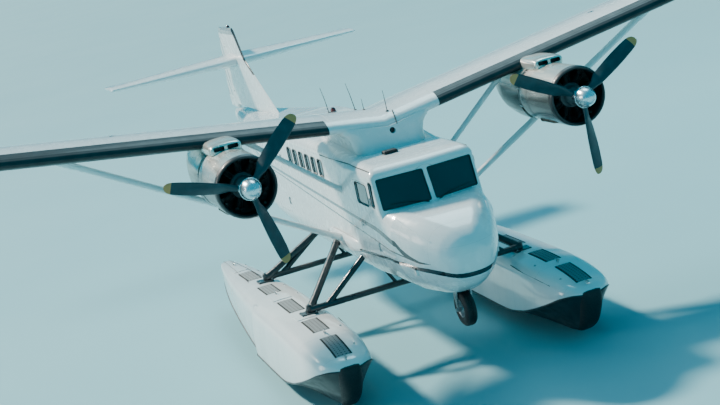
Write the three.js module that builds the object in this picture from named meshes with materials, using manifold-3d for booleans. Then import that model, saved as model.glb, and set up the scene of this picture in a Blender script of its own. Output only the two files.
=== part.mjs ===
// A twin-engined, strut-braced, high-wing floatplane, standing on the keels of its two floats.
// Millimetres. Stations run aft (+Y), with the tip of the nose at 378, heights (+Z) from the keels, and
// +X is the aeroplane's own left. The whole group is shifted at the end so that its middle is at Y = 0.

import * as THREE from 'three';
import { mergeVertices } from 'three/addons/utils/BufferGeometryUtils.js';
import Module from 'manifold-3d';

const wasm = await Module();
wasm.setup();

// Driving dimensions
const GAP = 0.3;                  // between two pieces that touch
const middleStation = 7659;       // the station that becomes Y = 0

const cabin = { halfWidth: 875, wall: 40, rearWall: 30 };
const cockpitRear = 3100;
const cabinRear = 9000;

const wing = {
  root: 885, tip: 9905, leadingEdge: 3240, chord: 1980, thickness: 0.155, camber: 0.03,
  height: 4020, dihedral: 8.7, hingeAt: 0.76, flapTo: 6250, aileronTo: 9560,
};
const tail = {
  root: 75, halfSpan: 2900, leadingEdge: 13088, chord: 1600, tipChord: 1130,
  height: 4450, thickness: 0.1875, tipThickness: 0.09, hingeAt: 0.62,
};
const fin = { hinge: 14120, top: 5200, thickness: 110 };
const engine = { x: 2790, height: 3780, hub: 1680 };
const propeller = { radius: 1290, blades: 3, hubRadius: 105, spinnerRadius: 165, spinnerTip: 1375 };
const cowl = { front: 1805, rear: 3120, radius: 490, mouth: 425, wall: 22 };
const float = { x: 2050, foot: 1920, step: 5050, stern: 9400 };
const noseWheel = { station: 1230, radius: 290, width: 190, bottom: 870 };
const frontFrame = 3390;          // stations of the two trusses between the floats
const rearFrame = 6300;

const paint = (name, color, roughness = 0.3, metalness = 0) =>
  new THREE.MeshStandardMaterial({ name, color, roughness, metalness });
const white = paint('white paint', 0xeef0ec, 0.25);
const charcoal = paint('dark strut paint', 0x22282c, 0.4);
const polished = paint('polished metal', 0xb9b4ac, 0.15, 1);
const bare = paint('bare metal', 0x9aa0a4, 0.35, 1);
const iron = paint('engine metal', 0x3a3c3e, 0.5, 1);
const blade = paint('blade paint', 0x1d2429, 0.45);
const glass = paint('tinted glass', 0x18262b, 0.1);
const rubber = paint('tyre rubber', 0x15171a, 0.8);
const trim = paint('cabin trim', 0x4a5254, 0.8);
const leather = paint('seat cover', 0x39424a, 0.7);

const aircraft = new THREE.Group();

// Surfaces from rings, and solids for the cuts
const signedVolume = (points, faces) => {
  let volume = 0;
  for (let i = 0; i < faces.length; i += 3) {
    const [a, b, c] = [points[faces[i]], points[faces[i + 1]], points[faces[i + 2]]];
    volume += a[0] * (b[1] * c[2] - b[2] * c[1]) + a[1] * (b[2] * c[0] - b[0] * c[2])
      + a[2] * (b[0] * c[1] - b[1] * c[0]);
  }
  return volume;
};

// A closed body through rings of the same number of points. Each end is closed by a fan from its middle.
function loft(rings) {
  const n = rings[0].length;
  const points = rings.flat();
  const faces = [];
  for (let r = 0; r + 1 < rings.length; r++) {
    for (let i = 0; i < n; i++) {
      const [a, b] = [r * n + i, r * n + (i + 1) % n];
      faces.push(a, b, b + n, a, b + n, a + n);
    }
  }
  for (const [ring, start, turn] of [[rings[0], 0, 1], [rings.at(-1), (rings.length - 1) * n, 0]]) {
    const flat = ring.map((p) => [...p]);
    const middle = [0, 1, 2].map((k) => flat.reduce((sum, p) => sum + p[k], 0) / n);
    points.push(middle);
    for (let i = 0; i < n; i++) {
      const pair = [start + i, start + (i + 1) % n];
      if (turn) pair.reverse();
      faces.push(...pair, points.length - 1);
    }
  }
  if (signedVolume(points, faces) < 0) {
    for (let i = 0; i < faces.length; i += 3) [faces[i], faces[i + 1]] = [faces[i + 1], faces[i]];
  }
  return new wasm.Manifold(new wasm.Mesh({
    numProp: 3,
    vertProperties: new Float32Array(points.flat()),
    triVerts: new Uint32Array(faces),
  }));
}

function solidOf(geometry) {
  const merged = geometry.clone();
  merged.deleteAttribute('normal');
  merged.deleteAttribute('uv');
  const tidy = mergeVertices(merged, 1e-4);
  return new wasm.Manifold(new wasm.Mesh({
    numProp: 3,
    vertProperties: new Float32Array(tidy.attributes.position.array),
    triVerts: new Uint32Array(tidy.index.array),
  }));
}

const box = (x0, x1, y0, y1, z0, z1) => solidOf(new THREE.BoxGeometry(
  Math.abs(x1 - x0), y1 - y0, z1 - z0,
).translate((x0 + x1) / 2, (y0 + y1) / 2, (z0 + z1) / 2));

// A turned body about a fore-and-aft line: the profile has [radius, station] pairs and starts and
// ends on the line.
function turned(x, height, profile, segments = 32) {
  const lathe = new THREE.LatheGeometry(profile.map(([r, y]) => new THREE.Vector2(r, y)), segments);
  return solidOf(lathe.translate(x, 0, height));
}

// A straight bar of streamline section, wide along the flight and thin across it.
function bar(from, to, wide, thin, sides = 10) {
  const [a, b] = [new THREE.Vector3(...from), new THREE.Vector3(...to)];
  const along = b.clone().sub(a).normalize();
  const flow = new THREE.Vector3(0, 1, 0);
  flow.addScaledVector(along, -flow.dot(along)).normalize();
  const across = along.clone().cross(flow);
  const ring = (centre) => Array.from({ length: sides }, (_, i) => {
    const angle = (i / sides) * 2 * Math.PI;
    return centre.clone().addScaledVector(flow, Math.cos(angle) * wide / 2)
      .addScaledVector(across, Math.sin(angle) * thin / 2).toArray();
  });
  return loft([ring(a), ring(b)]);
}

const rod = (from, to, radius, sides = 16) => {
  const [a, b] = [new THREE.Vector3(...from), new THREE.Vector3(...to)];
  const length = a.distanceTo(b);
  const turn = new THREE.Quaternion().setFromUnitVectors(
    new THREE.Vector3(0, 1, 0), b.clone().sub(a).normalize(),
  );
  const cylinder = new THREE.CylinderGeometry(radius, radius, length, sides)
    .applyQuaternion(turn).translate(...a.add(b).multiplyScalar(0.5).toArray());
  return solidOf(cylinder);
};

const union = (...solids) => solids.reduce((sum, next) => sum.add(next));

function geometryOf(solid) {
  const mesh = solid.getMesh();
  const geometry = new THREE.BufferGeometry();
  geometry.setAttribute('position', new THREE.BufferAttribute(Float32Array.from(mesh.vertProperties), 3));
  geometry.setIndex(new THREE.BufferAttribute(Uint32Array.from(mesh.triVerts), 1));
  geometry.computeVertexNormals();
  return geometry;
}

function piece(name, material, solid) {
  const mesh = new THREE.Mesh(geometryOf(solid), material);
  mesh.name = name;
  aircraft.add(mesh);
  return solid;
}

const sides = [['left', 1], ['right', -1]];

// Sections across the fuselage: a rectangle at one station with elliptical lower corners and round
// upper corners, inset all round by a wall
function fuselageRing([station, halfWidth, low, high, lowerWide, lowerTall, upper], inset = 0) {
  const steps = 6;
  const points = [];
  const w = halfWidth - inset;
  const [z0, z1] = [low + inset, high - inset];
  const [rx, rz, r] = [lowerWide - inset, lowerTall - inset, upper - inset].map((size) => Math.max(size, 5));
  for (const [cx, cz, across, tall, start] of [
    [w - r, z1 - r, r, r, 0], [-(w - r), z1 - r, r, r, 90],
    [-(w - rx), z0 + rz, rx, rz, 180], [w - rx, z0 + rz, rx, rz, 270],
  ]) {
    for (let i = 0; i <= steps; i++) {
      const angle = (start + (90 * i) / steps) * Math.PI / 180;
      points.push([cx + across * Math.cos(angle), station, cz + tall * Math.sin(angle)]);
    }
  }
  return points;
}

// Fuselage tables: station, half width, lowest height, highest height, then the width and height of
// the lower corners and the radius of the upper ones
const noseSections = [
  [378, 90, 2050, 2230, 85, 81, 85],
  [397, 210, 1934, 2330, 200, 184, 190],
  [453, 330, 1815, 2430, 315, 310, 290],
  [565, 435, 1705, 2530, 410, 450, 340],
  [752, 550, 1590, 2630, 510, 620, 360],
  [1051, 700, 1480, 2740, 620, 830, 370],
  [1500, 855, 1445, 2830, 700, 960, 330],
];
const lowerCockpitSections = [
  [1500 + GAP, 855, 1445, 2830, 700, 960, 330],
  [1900, 875, 1455, 2860, 690, 870, 200],
  [cockpitRear, 875, 1455, 2860, 620, 585, 200],
];
const cabinSections = [
  [cockpitRear + GAP, 875, 1455, 3520, 620, 585, 200],
  [4560, 875, 1455, 3620, 600, 560, 170],
  [7400, 875, 1455, 3620, 600, 560, 170],
  [8500, 872, 1530, 3600, 560, 500, 190],
  [cabinRear, 850, 1600, 3560, 540, 470, 220],
];
const tailSections = [
  [cabinRear + GAP, 850, 1600, 3560, 540, 470, 220],
  [10500, 700, 1950, 3470, 450, 420, 280],
  [12300, 440, 2450, 3370, 300, 280, 230],
  [14000, 170, 2930, 3290, 130, 130, 110],
  [14450, 60, 3080, 3250, 50, 50, 50],
];

// Upper cockpit, in level sections: height, half width at the sides, station of the windscreen at
// the middle and at its corners. The top four rows round the brow over into the roof.
const upperCockpitSections = [
  [2700, 875, 1560, 1720],
  [2840, 875, 1610, 1765],
  [3350, 875, 1810, 1875],
  [3420, 860, 1850, 1925],
  [3490, 800, 1950, 2040],
  [3520, 690, 2090, 2180],
];
function cockpitRing([height, halfWidth, middle, corner], rear, inset = 0) {
  const w = halfWidth - inset;
  const front = middle + inset;
  const turn = corner + inset;
  const cornerX = w - 70;
  const half = [[cornerX, turn], [w - 25, turn + 25], [w, turn + 90], [w, rear]];
  const mirrored = half.map(([x, y]) => [-x, y]).reverse();
  return [[0, front], ...half, ...mirrored].map(([x, y]) => [x, y, height - (height === 3520 ? inset : 0)]);
}

// Airfoil: thickness and camber as fractions of the chord, four-digit family
const airfoilAt = (x, thickness, camber) => {
  const half = 5 * thickness * (0.2969 * Math.sqrt(x) - 0.126 * x - 0.3516 * x ** 2 + 0.2843 * x ** 3
    - 0.1036 * x ** 4);
  const line = x < 0.4 ? camber * (0.8 * x - x * x) / 0.16 : camber * (0.2 + 0.8 * x - x * x) / 0.36;
  return [line, half];
};
// Points of the front part of an airfoil, from the upper lip round the leading edge to the lower lip,
// then the round cove about the hinge. Lips are angles ahead of straight up and straight down.
function frontProfile(chord, thickness, camber, hingeAt, lips, grow = 0) {
  const [hingeLine, hingeHalf] = airfoilAt(hingeAt, thickness, camber);
  const radius = hingeHalf * chord - 14 + 9;
  const end = (lip) => hingeAt - (radius * Math.sin(lip * Math.PI / 180)) / chord;
  const steps = 9;
  const surface = (last, sign) => Array.from({ length: steps + 1 }, (_, i) => {
    const x = last * (1 - Math.cos((i / steps) * Math.PI / 2));
    const [line, half] = airfoilAt(x, thickness, camber);
    return [x * chord - (i ? 0 : grow), (line + sign * half) * chord + sign * (i ? grow : 0)];
  });
  const upper = surface(end(lips[0]), 1).reverse();
  const lower = surface(end(lips[1]), -1).slice(1);
  const cove = [];
  const first = 270 - lips[1];
  const last = 90 + lips[0];
  for (let i = 0; i <= 6; i++) {
    const angle = (first + ((last - first) * i) / 6) * Math.PI / 180;
    cove.push([hingeAt * chord + radius * Math.cos(angle), hingeLine * chord + radius * Math.sin(angle)]);
  }
  return [...upper, ...lower, ...cove];
}
// Points of a hinged surface: a half circle about the hinge, then straight to the trailing edge
function rearProfile(chord, thickness, camber, hingeAt) {
  const [hingeLine, hingeHalf] = airfoilAt(hingeAt, thickness, camber);
  const radius = hingeHalf * chord - 14;
  const points = [];
  for (let i = 0; i <= 8; i++) {
    const angle = (90 + (180 * i) / 8) * Math.PI / 180;
    points.push([hingeAt * chord + radius * Math.cos(angle), hingeLine * chord + radius * Math.sin(angle)]);
  }
  points.push([chord, -6], [chord, 6]);
  return points;
}

const dihedral = Math.tan(wing.dihedral * Math.PI / 180);
const wingHeight = (x) => wing.height + (Math.abs(x) - 900) * dihedral;
const wingLips = [22, 45];
const onWing = (profile, x, scale = 1) => profile.map(([y, z]) => [
  x, wing.leadingEdge + y * scale + (1 - scale) * wing.chord * 0.4, wingHeight(x) + z * scale,
]);

// Nose
const well = { halfWidth: 170, front: 1045, rear: 1415, roof: 1640 };
piece('nose_cone', white, loft(noseSections.map((row) => fuselageRing(row)))
  .subtract(box(-well.halfWidth, well.halfWidth, well.front, well.rear, 1300, well.roof)));

// Cockpit and cabin shells, with their doors cut out of them
const cockpitOuter = union(
  loft(lowerCockpitSections.map((row) => fuselageRing(row))),
  loft(upperCockpitSections.map((row) => cockpitRing(row, cockpitRear))),
);
const cockpitHollow = [
  [1540, 857, 1446, 2833, 699, 951, 317],
  lowerCockpitSections[1],
  [cockpitRear + 50, 875, 1455, 2860, 620, 585, 200],
];
const cockpitInner = union(
  loft(cockpitHollow.map((row) => fuselageRing(row, cabin.wall))),
  loft(upperCockpitSections.map((row) => cockpitRing(row, cockpitRear + 50, cabin.wall))),
);
const paneGlass = { base: 2865, top: 3335, inner: 42, outer: 798 };
const windscreenCut = union(...sides.map(([, s]) => box(
  s * paneGlass.inner, s * paneGlass.outer, 1450, 2000, paneGlass.base, paneGlass.top,
)));
const quarterLight = union(...sides.map(([, s]) => box(s * 830, s * 900, 1930, 2060, 2900, 3300)));

const doors = {
  cockpit_door: { front: 2130, rear: 2900, low: 1980, high: 3260, window: [2220, 2800, 2880, 3225] },
  cabin_door: { front: 7480, rear: 8330, low: 1980, high: 3360, window: [7700, 8110, 3000, 3310] },
};
const doorGap = { front: 6, rear: 11 };
// One knuckle of a door hinge: a barrel just outside the skin, and a strap back onto the skin
const hingeOut = 8;
const doorKnuckle = (s, station, height, long, aft) => {
  const x = s * (cabin.halfWidth + hingeOut);
  const strap = aft > 0 ? [station, station + 60] : [station - 60, station];
  return rod([x, station, height], [x, station, height + long], hingeOut, 12)
    .add(box(s * (cabin.halfWidth - 35), s * (cabin.halfWidth + 5), ...strap, height, height + long));
};
const cutDoors = (shell, name) => {
  const d = doors[name];
  const axisStation = d.front + doorGap.front / 2;
  let rest = shell;
  for (const [side, s] of sides) {
    const hole = box(s * 700, s * 900, d.front, d.rear, d.low, d.high);
    const panel = box(s * 700, s * 900, d.front + doorGap.front, d.rear - doorGap.rear,
      d.low + doorGap.front, d.high - doorGap.front);
    let leaf = shell.intersect(panel).subtract(box(s * 700, s * 900, ...d.window));
    rest = rest.subtract(hole);
    for (const height of [d.low + 220, d.high - 320]) {
      leaf = leaf.add(doorKnuckle(s, axisStation, height, 60, 1));
      rest = rest.add(doorKnuckle(s, axisStation, height - 40 - GAP, 40, -1))
        .add(doorKnuckle(s, axisStation, height + 60 + GAP, 40, -1));
    }
    piece(`${name}_${side}`, white, leaf);
  }
  return rest;
};
let cockpitShell = cockpitOuter.subtract(cockpitInner).subtract(windscreenCut).subtract(quarterLight);
cockpitShell = cutDoors(cockpitShell, 'cockpit_door');
piece('cockpit_shell', white, cockpitShell);

const windows = { first: 4560, pitch: 400, count: 6, width: 270, low: 3060, high: 3360 };
const cabinHollow = [
  [cockpitRear - 50, 875, 1455, 3516.5, 620, 585, 201],
  ...cabinSections.slice(1, 4),
  [cabinRear + 50, 848, 1607, 3556, 538, 467, 223],
];
let cabinShell = loft(cabinSections.map((row) => fuselageRing(row)))
  .subtract(loft(cabinHollow.map((row) => fuselageRing(row, cabin.wall))));
for (let i = 0; i < windows.count; i++) {
  const start = windows.first + i * windows.pitch;
  cabinShell = cabinShell.subtract(box(-900, 900, start, start + windows.width, windows.low, windows.high));
}
cabinShell = cutDoors(cabinShell, 'cabin_door');

// Strut fittings: a faired box low on each side, where the wing strut and the float struts meet
const fitting = { station: 4140, height: 2040, reach: 945 };
const fittingRing = (station, reach, low, high, s) => [
  [s * 834, station, low], [s * reach, station, low + 60],
  [s * reach, station, high - 60], [s * 834, station, high],
];
for (const [, s] of sides) {
  cabinShell = cabinShell.add(loft([
    fittingRing(3200, 872, 1950, 2100, s), fittingRing(3700, fitting.reach, 1880, 2160, s),
    fittingRing(4500, fitting.reach, 1880, 2160, s), fittingRing(5200, 872, 1950, 2100, s),
  ]));
}
piece('cabin_shell', white, cabinShell);

const tailInner = tailSections.slice(0, 4).map((row) => fuselageRing(row, cabin.rearWall));
tailInner[0] = fuselageRing([cabinRear - 50, 855, 1588, 3563, 543, 472, 218], cabin.rearWall);
piece('tail_cone', white, loft(tailSections.map((row) => fuselageRing(row))).subtract(loft(tailInner)));

// Glass: one bent sheet behind the windscreen's posts, and one strip behind each row of windows
const sheetOuter = cabin.wall + GAP;
const sheetInner = sheetOuter + 8;
const sheetRing = (inset) => [[2842, 873, 1611, 1766], [3350, 875, 1810, 1875]]
  .map((row) => cockpitRing(row, 2100, inset));
piece('windscreen', glass, loft(sheetRing(sheetOuter)).subtract(loft([
  cockpitRing([2700, 870, 1556, 1721], 2200, sheetInner),
  cockpitRing([3400, 876, 1830, 1886], 2200, sheetInner),
])));
for (const [side, s] of sides) {
  const inner = cabin.halfWidth - cabin.wall - 2 * GAP;
  piece(`cabin_windows_${side}`, glass, box(s * (inner - 8), s * inner, windows.first - 40,
    windows.first + 5 * windows.pitch + windows.width + 40, windows.low - 30, windows.high + 15));
  const [w0, w1, w2, w3] = doors.cockpit_door.window;
  piece(`door_glass_${side}`, glass, box(s * (inner - 8), s * inner, w0 - 30, w1 + 30, w2 - 30, w3 + 20));
}

// Cockpit and cabin inside: floor, panel, pilots' seats and rows of cabin seats on the floor
const floorTop = 1900;
piece('cabin_floor', trim, box(-685, 685, 1720, 8900, floorTop - 30, floorTop)
  .add(box(-60, 60, 1800, 7390, 1495 + GAP, floorTop - 10)));
const panelStation = 1820;
piece('instrument_panel', trim, union(
  box(-760, 760, panelStation, panelStation + 60, 2450, 2790),
  box(-160, 160, panelStation, panelStation + 180, floorTop + GAP, 2700),
));
const chair = (x, station, width = 440) => union(
  box(x - width / 2, x + width / 2, station, station + 460, floorTop + 300, floorTop + 420),
  loft([[0, floorTop + 330], [140, floorTop + 980]].map(([lean, height]) => [
    [x - width / 2, station + 400 + lean, height], [x + width / 2, station + 400 + lean, height],
    [x + width / 2, station + 500 + lean, height], [x - width / 2, station + 500 + lean, height],
  ])),
  box(x - 40, x + 40, station + 100, station + 380, floorTop + GAP, floorTop + 310),
);
const joinBars = (low) => box(-420, 420, low + 200, low + 240, floorTop + GAP, floorTop + 30);
piece('pilot_seats', leather, union(chair(-400, 2330), chair(400, 2330), joinBars(2330)));
let rows = box(-20, 20, 3600, 7000, floorTop + GAP, floorTop + 30);
for (let i = 0; i < 4; i++) {
  const station = 3600 + i * 900;
  rows = union(rows, chair(-480, station), chair(480, station), box(-500, 500, station + 200, station + 240,
    floorTop + GAP, floorTop + 30));
}
piece('cabin_seats', leather, rows);

// Wing: centre section with its fairing down to the cabin roof, and two outer panels
const wingProfile = frontProfile(wing.chord, wing.thickness, wing.camber, wing.hingeAt, wingLips);
const fullProfile = Array.from({ length: 32 }, (_, i) => {
  const angle = (i / 32) * 2 * Math.PI;
  const x = (1 - Math.cos(angle)) / 2;
  const [line, half] = airfoilAt(Math.min(x, 1), wing.thickness, wing.camber);
  return [x * wing.chord, (line + (Math.sin(angle) >= 0 ? 1 : -1) * (half + 0.0015)) * wing.chord];
});
const centreEdge = wing.root - GAP;
const fairingRing = ([height, halfWidth, front, rear]) => {
  const r = 220;
  const half = [[halfWidth - r, front], [halfWidth - r * 0.3, front + r * 0.3], [halfWidth, front + r],
    [halfWidth, rear - 900], [halfWidth * 0.8, rear - 300], [halfWidth * 0.3, rear]];
  return [...half, ...half.map(([x, y]) => [-x, y]).reverse()].map(([x, y]) => [x, y, height]);
};
// Fairing table: height, half width, front station, rear station
const fairingSections = [
  [3450, 600, 3060, 6000],
  [3640, 615, 3100, 5900],
  [3800, 670, 3140, 5650],
  [3920, 790, 3190, 5400],
  [4010, 880, 3240, 5230],
];
const underFairing = union(
  loft(cabinSections.map((row) => fuselageRing(row, -GAP))),
  box(-900, 900, 2000, cockpitRear + 5, 3000, 3520 + GAP),
);
piece('wing_centre', white, union(
  loft([centreEdge, 0, -centreEdge].map((x) => onWing(fullProfile, x))),
  loft(fairingSections.map(fairingRing)),
).subtract(underFairing));
// Flaps and ailerons turn on knuckles that stand out of the wing into slots in their rounded noses.
// Their ends are square to the hinge line.
const flapProfile = rearProfile(wing.chord, wing.thickness, wing.camber, wing.hingeAt);
const [hingeLine, hingeHalfWing] = airfoilAt(wing.hingeAt, wing.thickness, wing.camber);
const wingHinge = (x) => [
  x, wing.leadingEdge + wing.hingeAt * wing.chord, wingHeight(x) + hingeLine * wing.chord,
];
const onHingeLine = (profile, x) => profile.map(([y, z]) => {
  const shift = Math.sign(x) * (z - hingeLine * wing.chord) * dihedral;
  return [x - shift, wing.leadingEdge + y, wingHeight(x - shift) + z];
});
const lean = Math.atan(dihedral);
const along = ([x, y, z], s, distance) => [
  x + s * distance * Math.cos(lean), y, z + distance * Math.sin(lean),
];
const hingedSurfaces = [
  ['flap', wing.root + 25, wing.flapTo, [1500, 3700, 5900]],
  ['aileron', wing.flapTo + 20, wing.aileronTo, [6800, 9000]],
];
const noseRadius = hingeHalfWing * wing.chord - 14;
const wings = {};
for (const [side, s] of sides) {
  let panel = loft([wing.root, wing.aileronTo + 30].map((x) => onWing(wingProfile, s * x))).add(loft([
    onWing(fullProfile, s * (wing.aileronTo + 20)), onWing(fullProfile, s * (wing.tip - 180)),
    onWing(fullProfile, s * (wing.tip - 60), 0.94), onWing(fullProfile, s * wing.tip, 0.78),
  ]));
  for (const [name, from, to, hinges] of hingedSurfaces) {
    let surface = loft([from, to].map((x) => onHingeLine(flapProfile, s * x)));
    for (const x of hinges) {
      const middle = wingHinge(s * x);
      const slot = rod(along(middle, s, -15 - GAP), along(middle, s, 15 + GAP), noseRadius + 12, 24);
      surface = surface.subtract(slot);
      panel = panel.add(rod(along(middle, s, -15), along(middle, s, 15), 32, 16))
        .add(box(middle[0] - 9, middle[0] + 9, middle[1] - noseRadius - 60, middle[1],
          middle[2] - 22, middle[2] + 22));
    }
    piece(`${name}_${side}`, white, surface);
  }
  wings[side] = piece(`wing_${side}`, white, panel);
}
// The room that a piece takes with its gap on the sides that others come from
const roomOf = (solid) => union(solid, solid.translate(0, 0, -GAP), solid.translate(0, -GAP, 0),
  solid.translate(0, -GAP, -GAP));

// Wing struts and the short struts inboard of the engines
const underWing = (x, station) => {
  const t = (station - wing.leadingEdge) / wing.chord;
  const [line, half] = airfoilAt(t, wing.thickness, wing.camber);
  return wingHeight(x) + (line - half) * wing.chord;
};
const strut = { top: 5250, topStation: 3660, inner: 2280, innerStation: 3620 };
for (const [side, s] of sides) {
  const keepOut = roomOf(wings[side]);
  const cabinBlock = box(-fitting.reach - GAP, fitting.reach + GAP, 3000, 5400, 1300, 3600);
  const top = [s * strut.top, strut.topStation, underWing(strut.top, strut.topStation) + 60];
  piece(`wing_strut_${side}`, white, bar([s * 800, fitting.station, fitting.height - 45], top, 215, 100)
    .subtract(keepOut).subtract(cabinBlock));
  const body = box(-cabin.halfWidth - GAP, cabin.halfWidth + GAP, 3000, 5400, 1300, 3600);
  const innerTop = [s * strut.inner, strut.innerStation, underWing(strut.inner, strut.innerStation) + 60];
  piece(`inner_strut_${side}`, white, bar([s * 800, 3700, 2900], innerTop, 165, 85)
    .subtract(keepOut).subtract(body));
}

// Engines: nacelle with its scoop, round cowl, the engine as one block, propeller and spinner
const nacelleRing = ([station, halfWidth, low, high]) => {
  const n = 24;
  return Array.from({ length: n }, (_, i) => {
    const angle = (i / n) * 2 * Math.PI;
    const c = Math.cos(angle);
    const t = Math.sin(angle);
    const middle = (low + high) / 2;
    return [Math.sign(c) * Math.abs(c) ** 0.8 * halfWidth, station,
      middle + Math.sign(t) * Math.abs(t) ** 0.8 * (high - low) / 2];
  });
};
// Nacelle table: station, half width, lowest height, highest height
const nacelleSections = [
  [cowl.rear + 3, 472, 3308, 4252], [3400, 474, 3320, 4270], [3800, 468, 3390, 4280],
  [4150, 415, 3530, 4285], [4450, 290, 3790, 4290], [4640, 130, 4040, 4290],
];
// Scoop table, the same columns: the hump between the cowl and the wing's leading edge
const scoopSections = [
  [2690, 190, 4230, 4310], [2740, 245, 4190, 4375], [3000, 270, 4150, 4395], [3330, 265, 4150, 4390],
];
for (const [side, s] of sides) {
  const at = (rings) => loft(rings.map((ring) => ring.map(([x, y, z]) => [s * engine.x + x, y, z])));
  const wingSpace = roomOf(wings[side]);
  const cowlSpace = turned(s * engine.x, engine.height, [
    [0, 2000], [cowl.radius + 3, 2000], [cowl.radius + 3, cowl.rear + 3], [0, cowl.rear + 3],
  ]);
  const body = union(at(nacelleSections.map(nacelleRing)), at(scoopSections.map(nacelleRing)));
  const hook = turned(s * engine.x, engine.height, [[0, 2540], [120, 2540], [120, 3200], [0, 3200]], 16);
  piece(`nacelle_${side}`, polished, body.subtract(wingSpace).subtract(cowlSpace).add(hook));

  const mouth = cowl.mouth;
  const shell = turned(s * engine.x, engine.height, [
    [mouth, cowl.front + 40], [mouth + 25, cowl.front], [cowl.radius - 14, cowl.front + 25],
    [cowl.radius, cowl.front + 90], [cowl.radius, cowl.rear - 150], [cowl.radius - 18, cowl.rear],
    [cowl.radius - 18 - cowl.wall, cowl.rear], [cowl.radius - cowl.wall, cowl.front + 100],
    [mouth, cowl.front + 40],
  ], 32);
  const spokes = union(...[0, 1, 2, 3].map((i) => {
    const angle = (i / 4) * 2 * Math.PI + Math.PI / 4;
    const reach = (r) => [s * engine.x + r * Math.cos(angle), 2420, engine.height + r * Math.sin(angle)];
    return rod(reach(340.3), reach(cowl.radius - 8), 14, 8);
  }));
  piece(`cowl_${side}`, polished, shell.add(spokes));
  piece(`engine_${side}`, iron, turned(s * engine.x, engine.height, [
    [0, 1870], [130, 1870], [170, 1960], [330, 2020], [340, 2100], [340, 2500], [200, 2540 - GAP],
    [0, 2540 - GAP],
  ], 24));

  const shaft = turned(s * engine.x, engine.height, [[0, 1600], [propeller.hubRadius, 1600],
    [propeller.hubRadius, 1790], [60, 1800], [60, 1870 - GAP], [0, 1870 - GAP]], 24);
  const bladeSections = [[60, 110, 100, 45], [230, 120, 90, 45], [420, 215, 48, 38], [800, 235, 34, 27],
    [1150, 205, 24, 21], [1250, 150, 16, 20], [propeller.radius, 60, 8, 20]];
  let blades = shaft;
  for (let k = 0; k < propeller.blades; k++) {
    const spin = (k / propeller.blades) * 2 * Math.PI + (s > 0 ? 0.56 : 0.77);
    const bladeRing = ([r, chord, thick, pitch]) => Array.from({ length: 10 }, (_, i) => {
      const angle = (i / 10) * 2 * Math.PI;
      const p = pitch * Math.PI / 180;
      const u = Math.cos(angle) * chord / 2;
      const v = Math.sin(angle) * thick / 2;
      const across = u * Math.cos(p) - v * Math.sin(p);
      const deep = u * Math.sin(p) + v * Math.cos(p);
      return [s * engine.x + r * Math.cos(spin) - across * Math.sin(spin), engine.hub + deep,
        engine.height + r * Math.sin(spin) + across * Math.cos(spin)];
    });
    blades = blades.add(loft(bladeSections.map(bladeRing)));
  }
  const spinner = turned(s * engine.x, engine.height, [
    [0, propeller.spinnerTip], [60, propeller.spinnerTip + 12], [110, propeller.spinnerTip + 50],
    [145, propeller.spinnerTip + 120], [propeller.spinnerRadius, 1590], [propeller.spinnerRadius, 1600 - GAP],
    [0, 1600 - GAP],
  ], 24);
  piece(`propeller_${side}`, blade, blades);
  piece(`spinner_${side}`, bare, spinner);
}

// Fin, rudder, tailplane and elevators
const finProfile = [[10300, 3400], [11500, 4000], [12500, 4500], [12990, 5110], [13080, fin.top]];
const tailHinge = tail.leadingEdge + tail.chord * tail.hingeAt;
// Chord and thickness of the tail surfaces at a distance from the middle
const tailAt = (x) => {
  const f = (Math.abs(x) - tail.root) / (tail.halfSpan - tail.root);
  return [
    tail.chord + (tail.tipChord - tail.chord) * f,
    tail.thickness + (tail.tipThickness - tail.thickness) * f,
  ];
};
const tailRing = (profileOf, x) => {
  const [chord, thickness] = tailAt(x);
  const start = tailHinge - tail.hingeAt * chord;
  return profileOf(chord, thickness).map(([y, z]) => [x, start + y, tail.height + z]);
};
const tailNoseRadius = (x) => {
  const [chord, thickness] = tailAt(x);
  return airfoilAt(tail.hingeAt, thickness, 0)[1] * chord - 14;
};
const tailProfile = (chord, thickness) => frontProfile(chord, thickness, 0, tail.hingeAt, [30, 30]);
const elevatorProfile = (chord, thickness) => rearProfile(chord, thickness, 0, tail.hingeAt);
let tailplaneSolid = loft([-tail.halfSpan, -tail.root, tail.root, tail.halfSpan]
  .map((x) => tailRing(tailProfile, x)));
const rodAcross = (from, to, radius) => rod(
  [from, tailHinge, tail.height], [to, tailHinge, tail.height], radius, 20,
);
// Each elevator has a slanted inner end for the rudder and a socket for the tube that joins the two
const elevatorTube = { end: 240, radius: 28 };
for (const [side, s] of sides) {
  const whole = loft([110, tail.halfSpan].map((x) => tailRing(elevatorProfile, s * x)));
  const notch = loft([tail.height - 200, tail.height + 200].map((z) => [
    [s * 60, tailHinge - 200, z], [s * 110, tailHinge - 200, z], [s * 125, tailHinge, z],
    [s * 440, tailHinge + 700, z], [s * 60, tailHinge + 700, z],
  ]));
  let elevator = whole.subtract(notch).subtract(
    rodAcross(0, s * (elevatorTube.end + GAP), elevatorTube.radius + GAP));
  for (const x of [s * 1000, s * 2500]) {
    elevator = elevator.subtract(rodAcross(x - 12 - GAP, x + 12 + GAP, tailNoseRadius(x) + 14));
    tailplaneSolid = tailplaneSolid.add(rodAcross(x - 12, x + 12, 22))
      .add(box(x - 8, x + 8, tailHinge - 130, tailHinge, tail.height - 16, tail.height + 16));
  }
  piece(`elevator_${side}`, white, elevator);
}
piece('elevator_tube', bare, rodAcross(-elevatorTube.end, elevatorTube.end, elevatorTube.radius));
piece('tailplane', white, tailplaneSolid);

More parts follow.
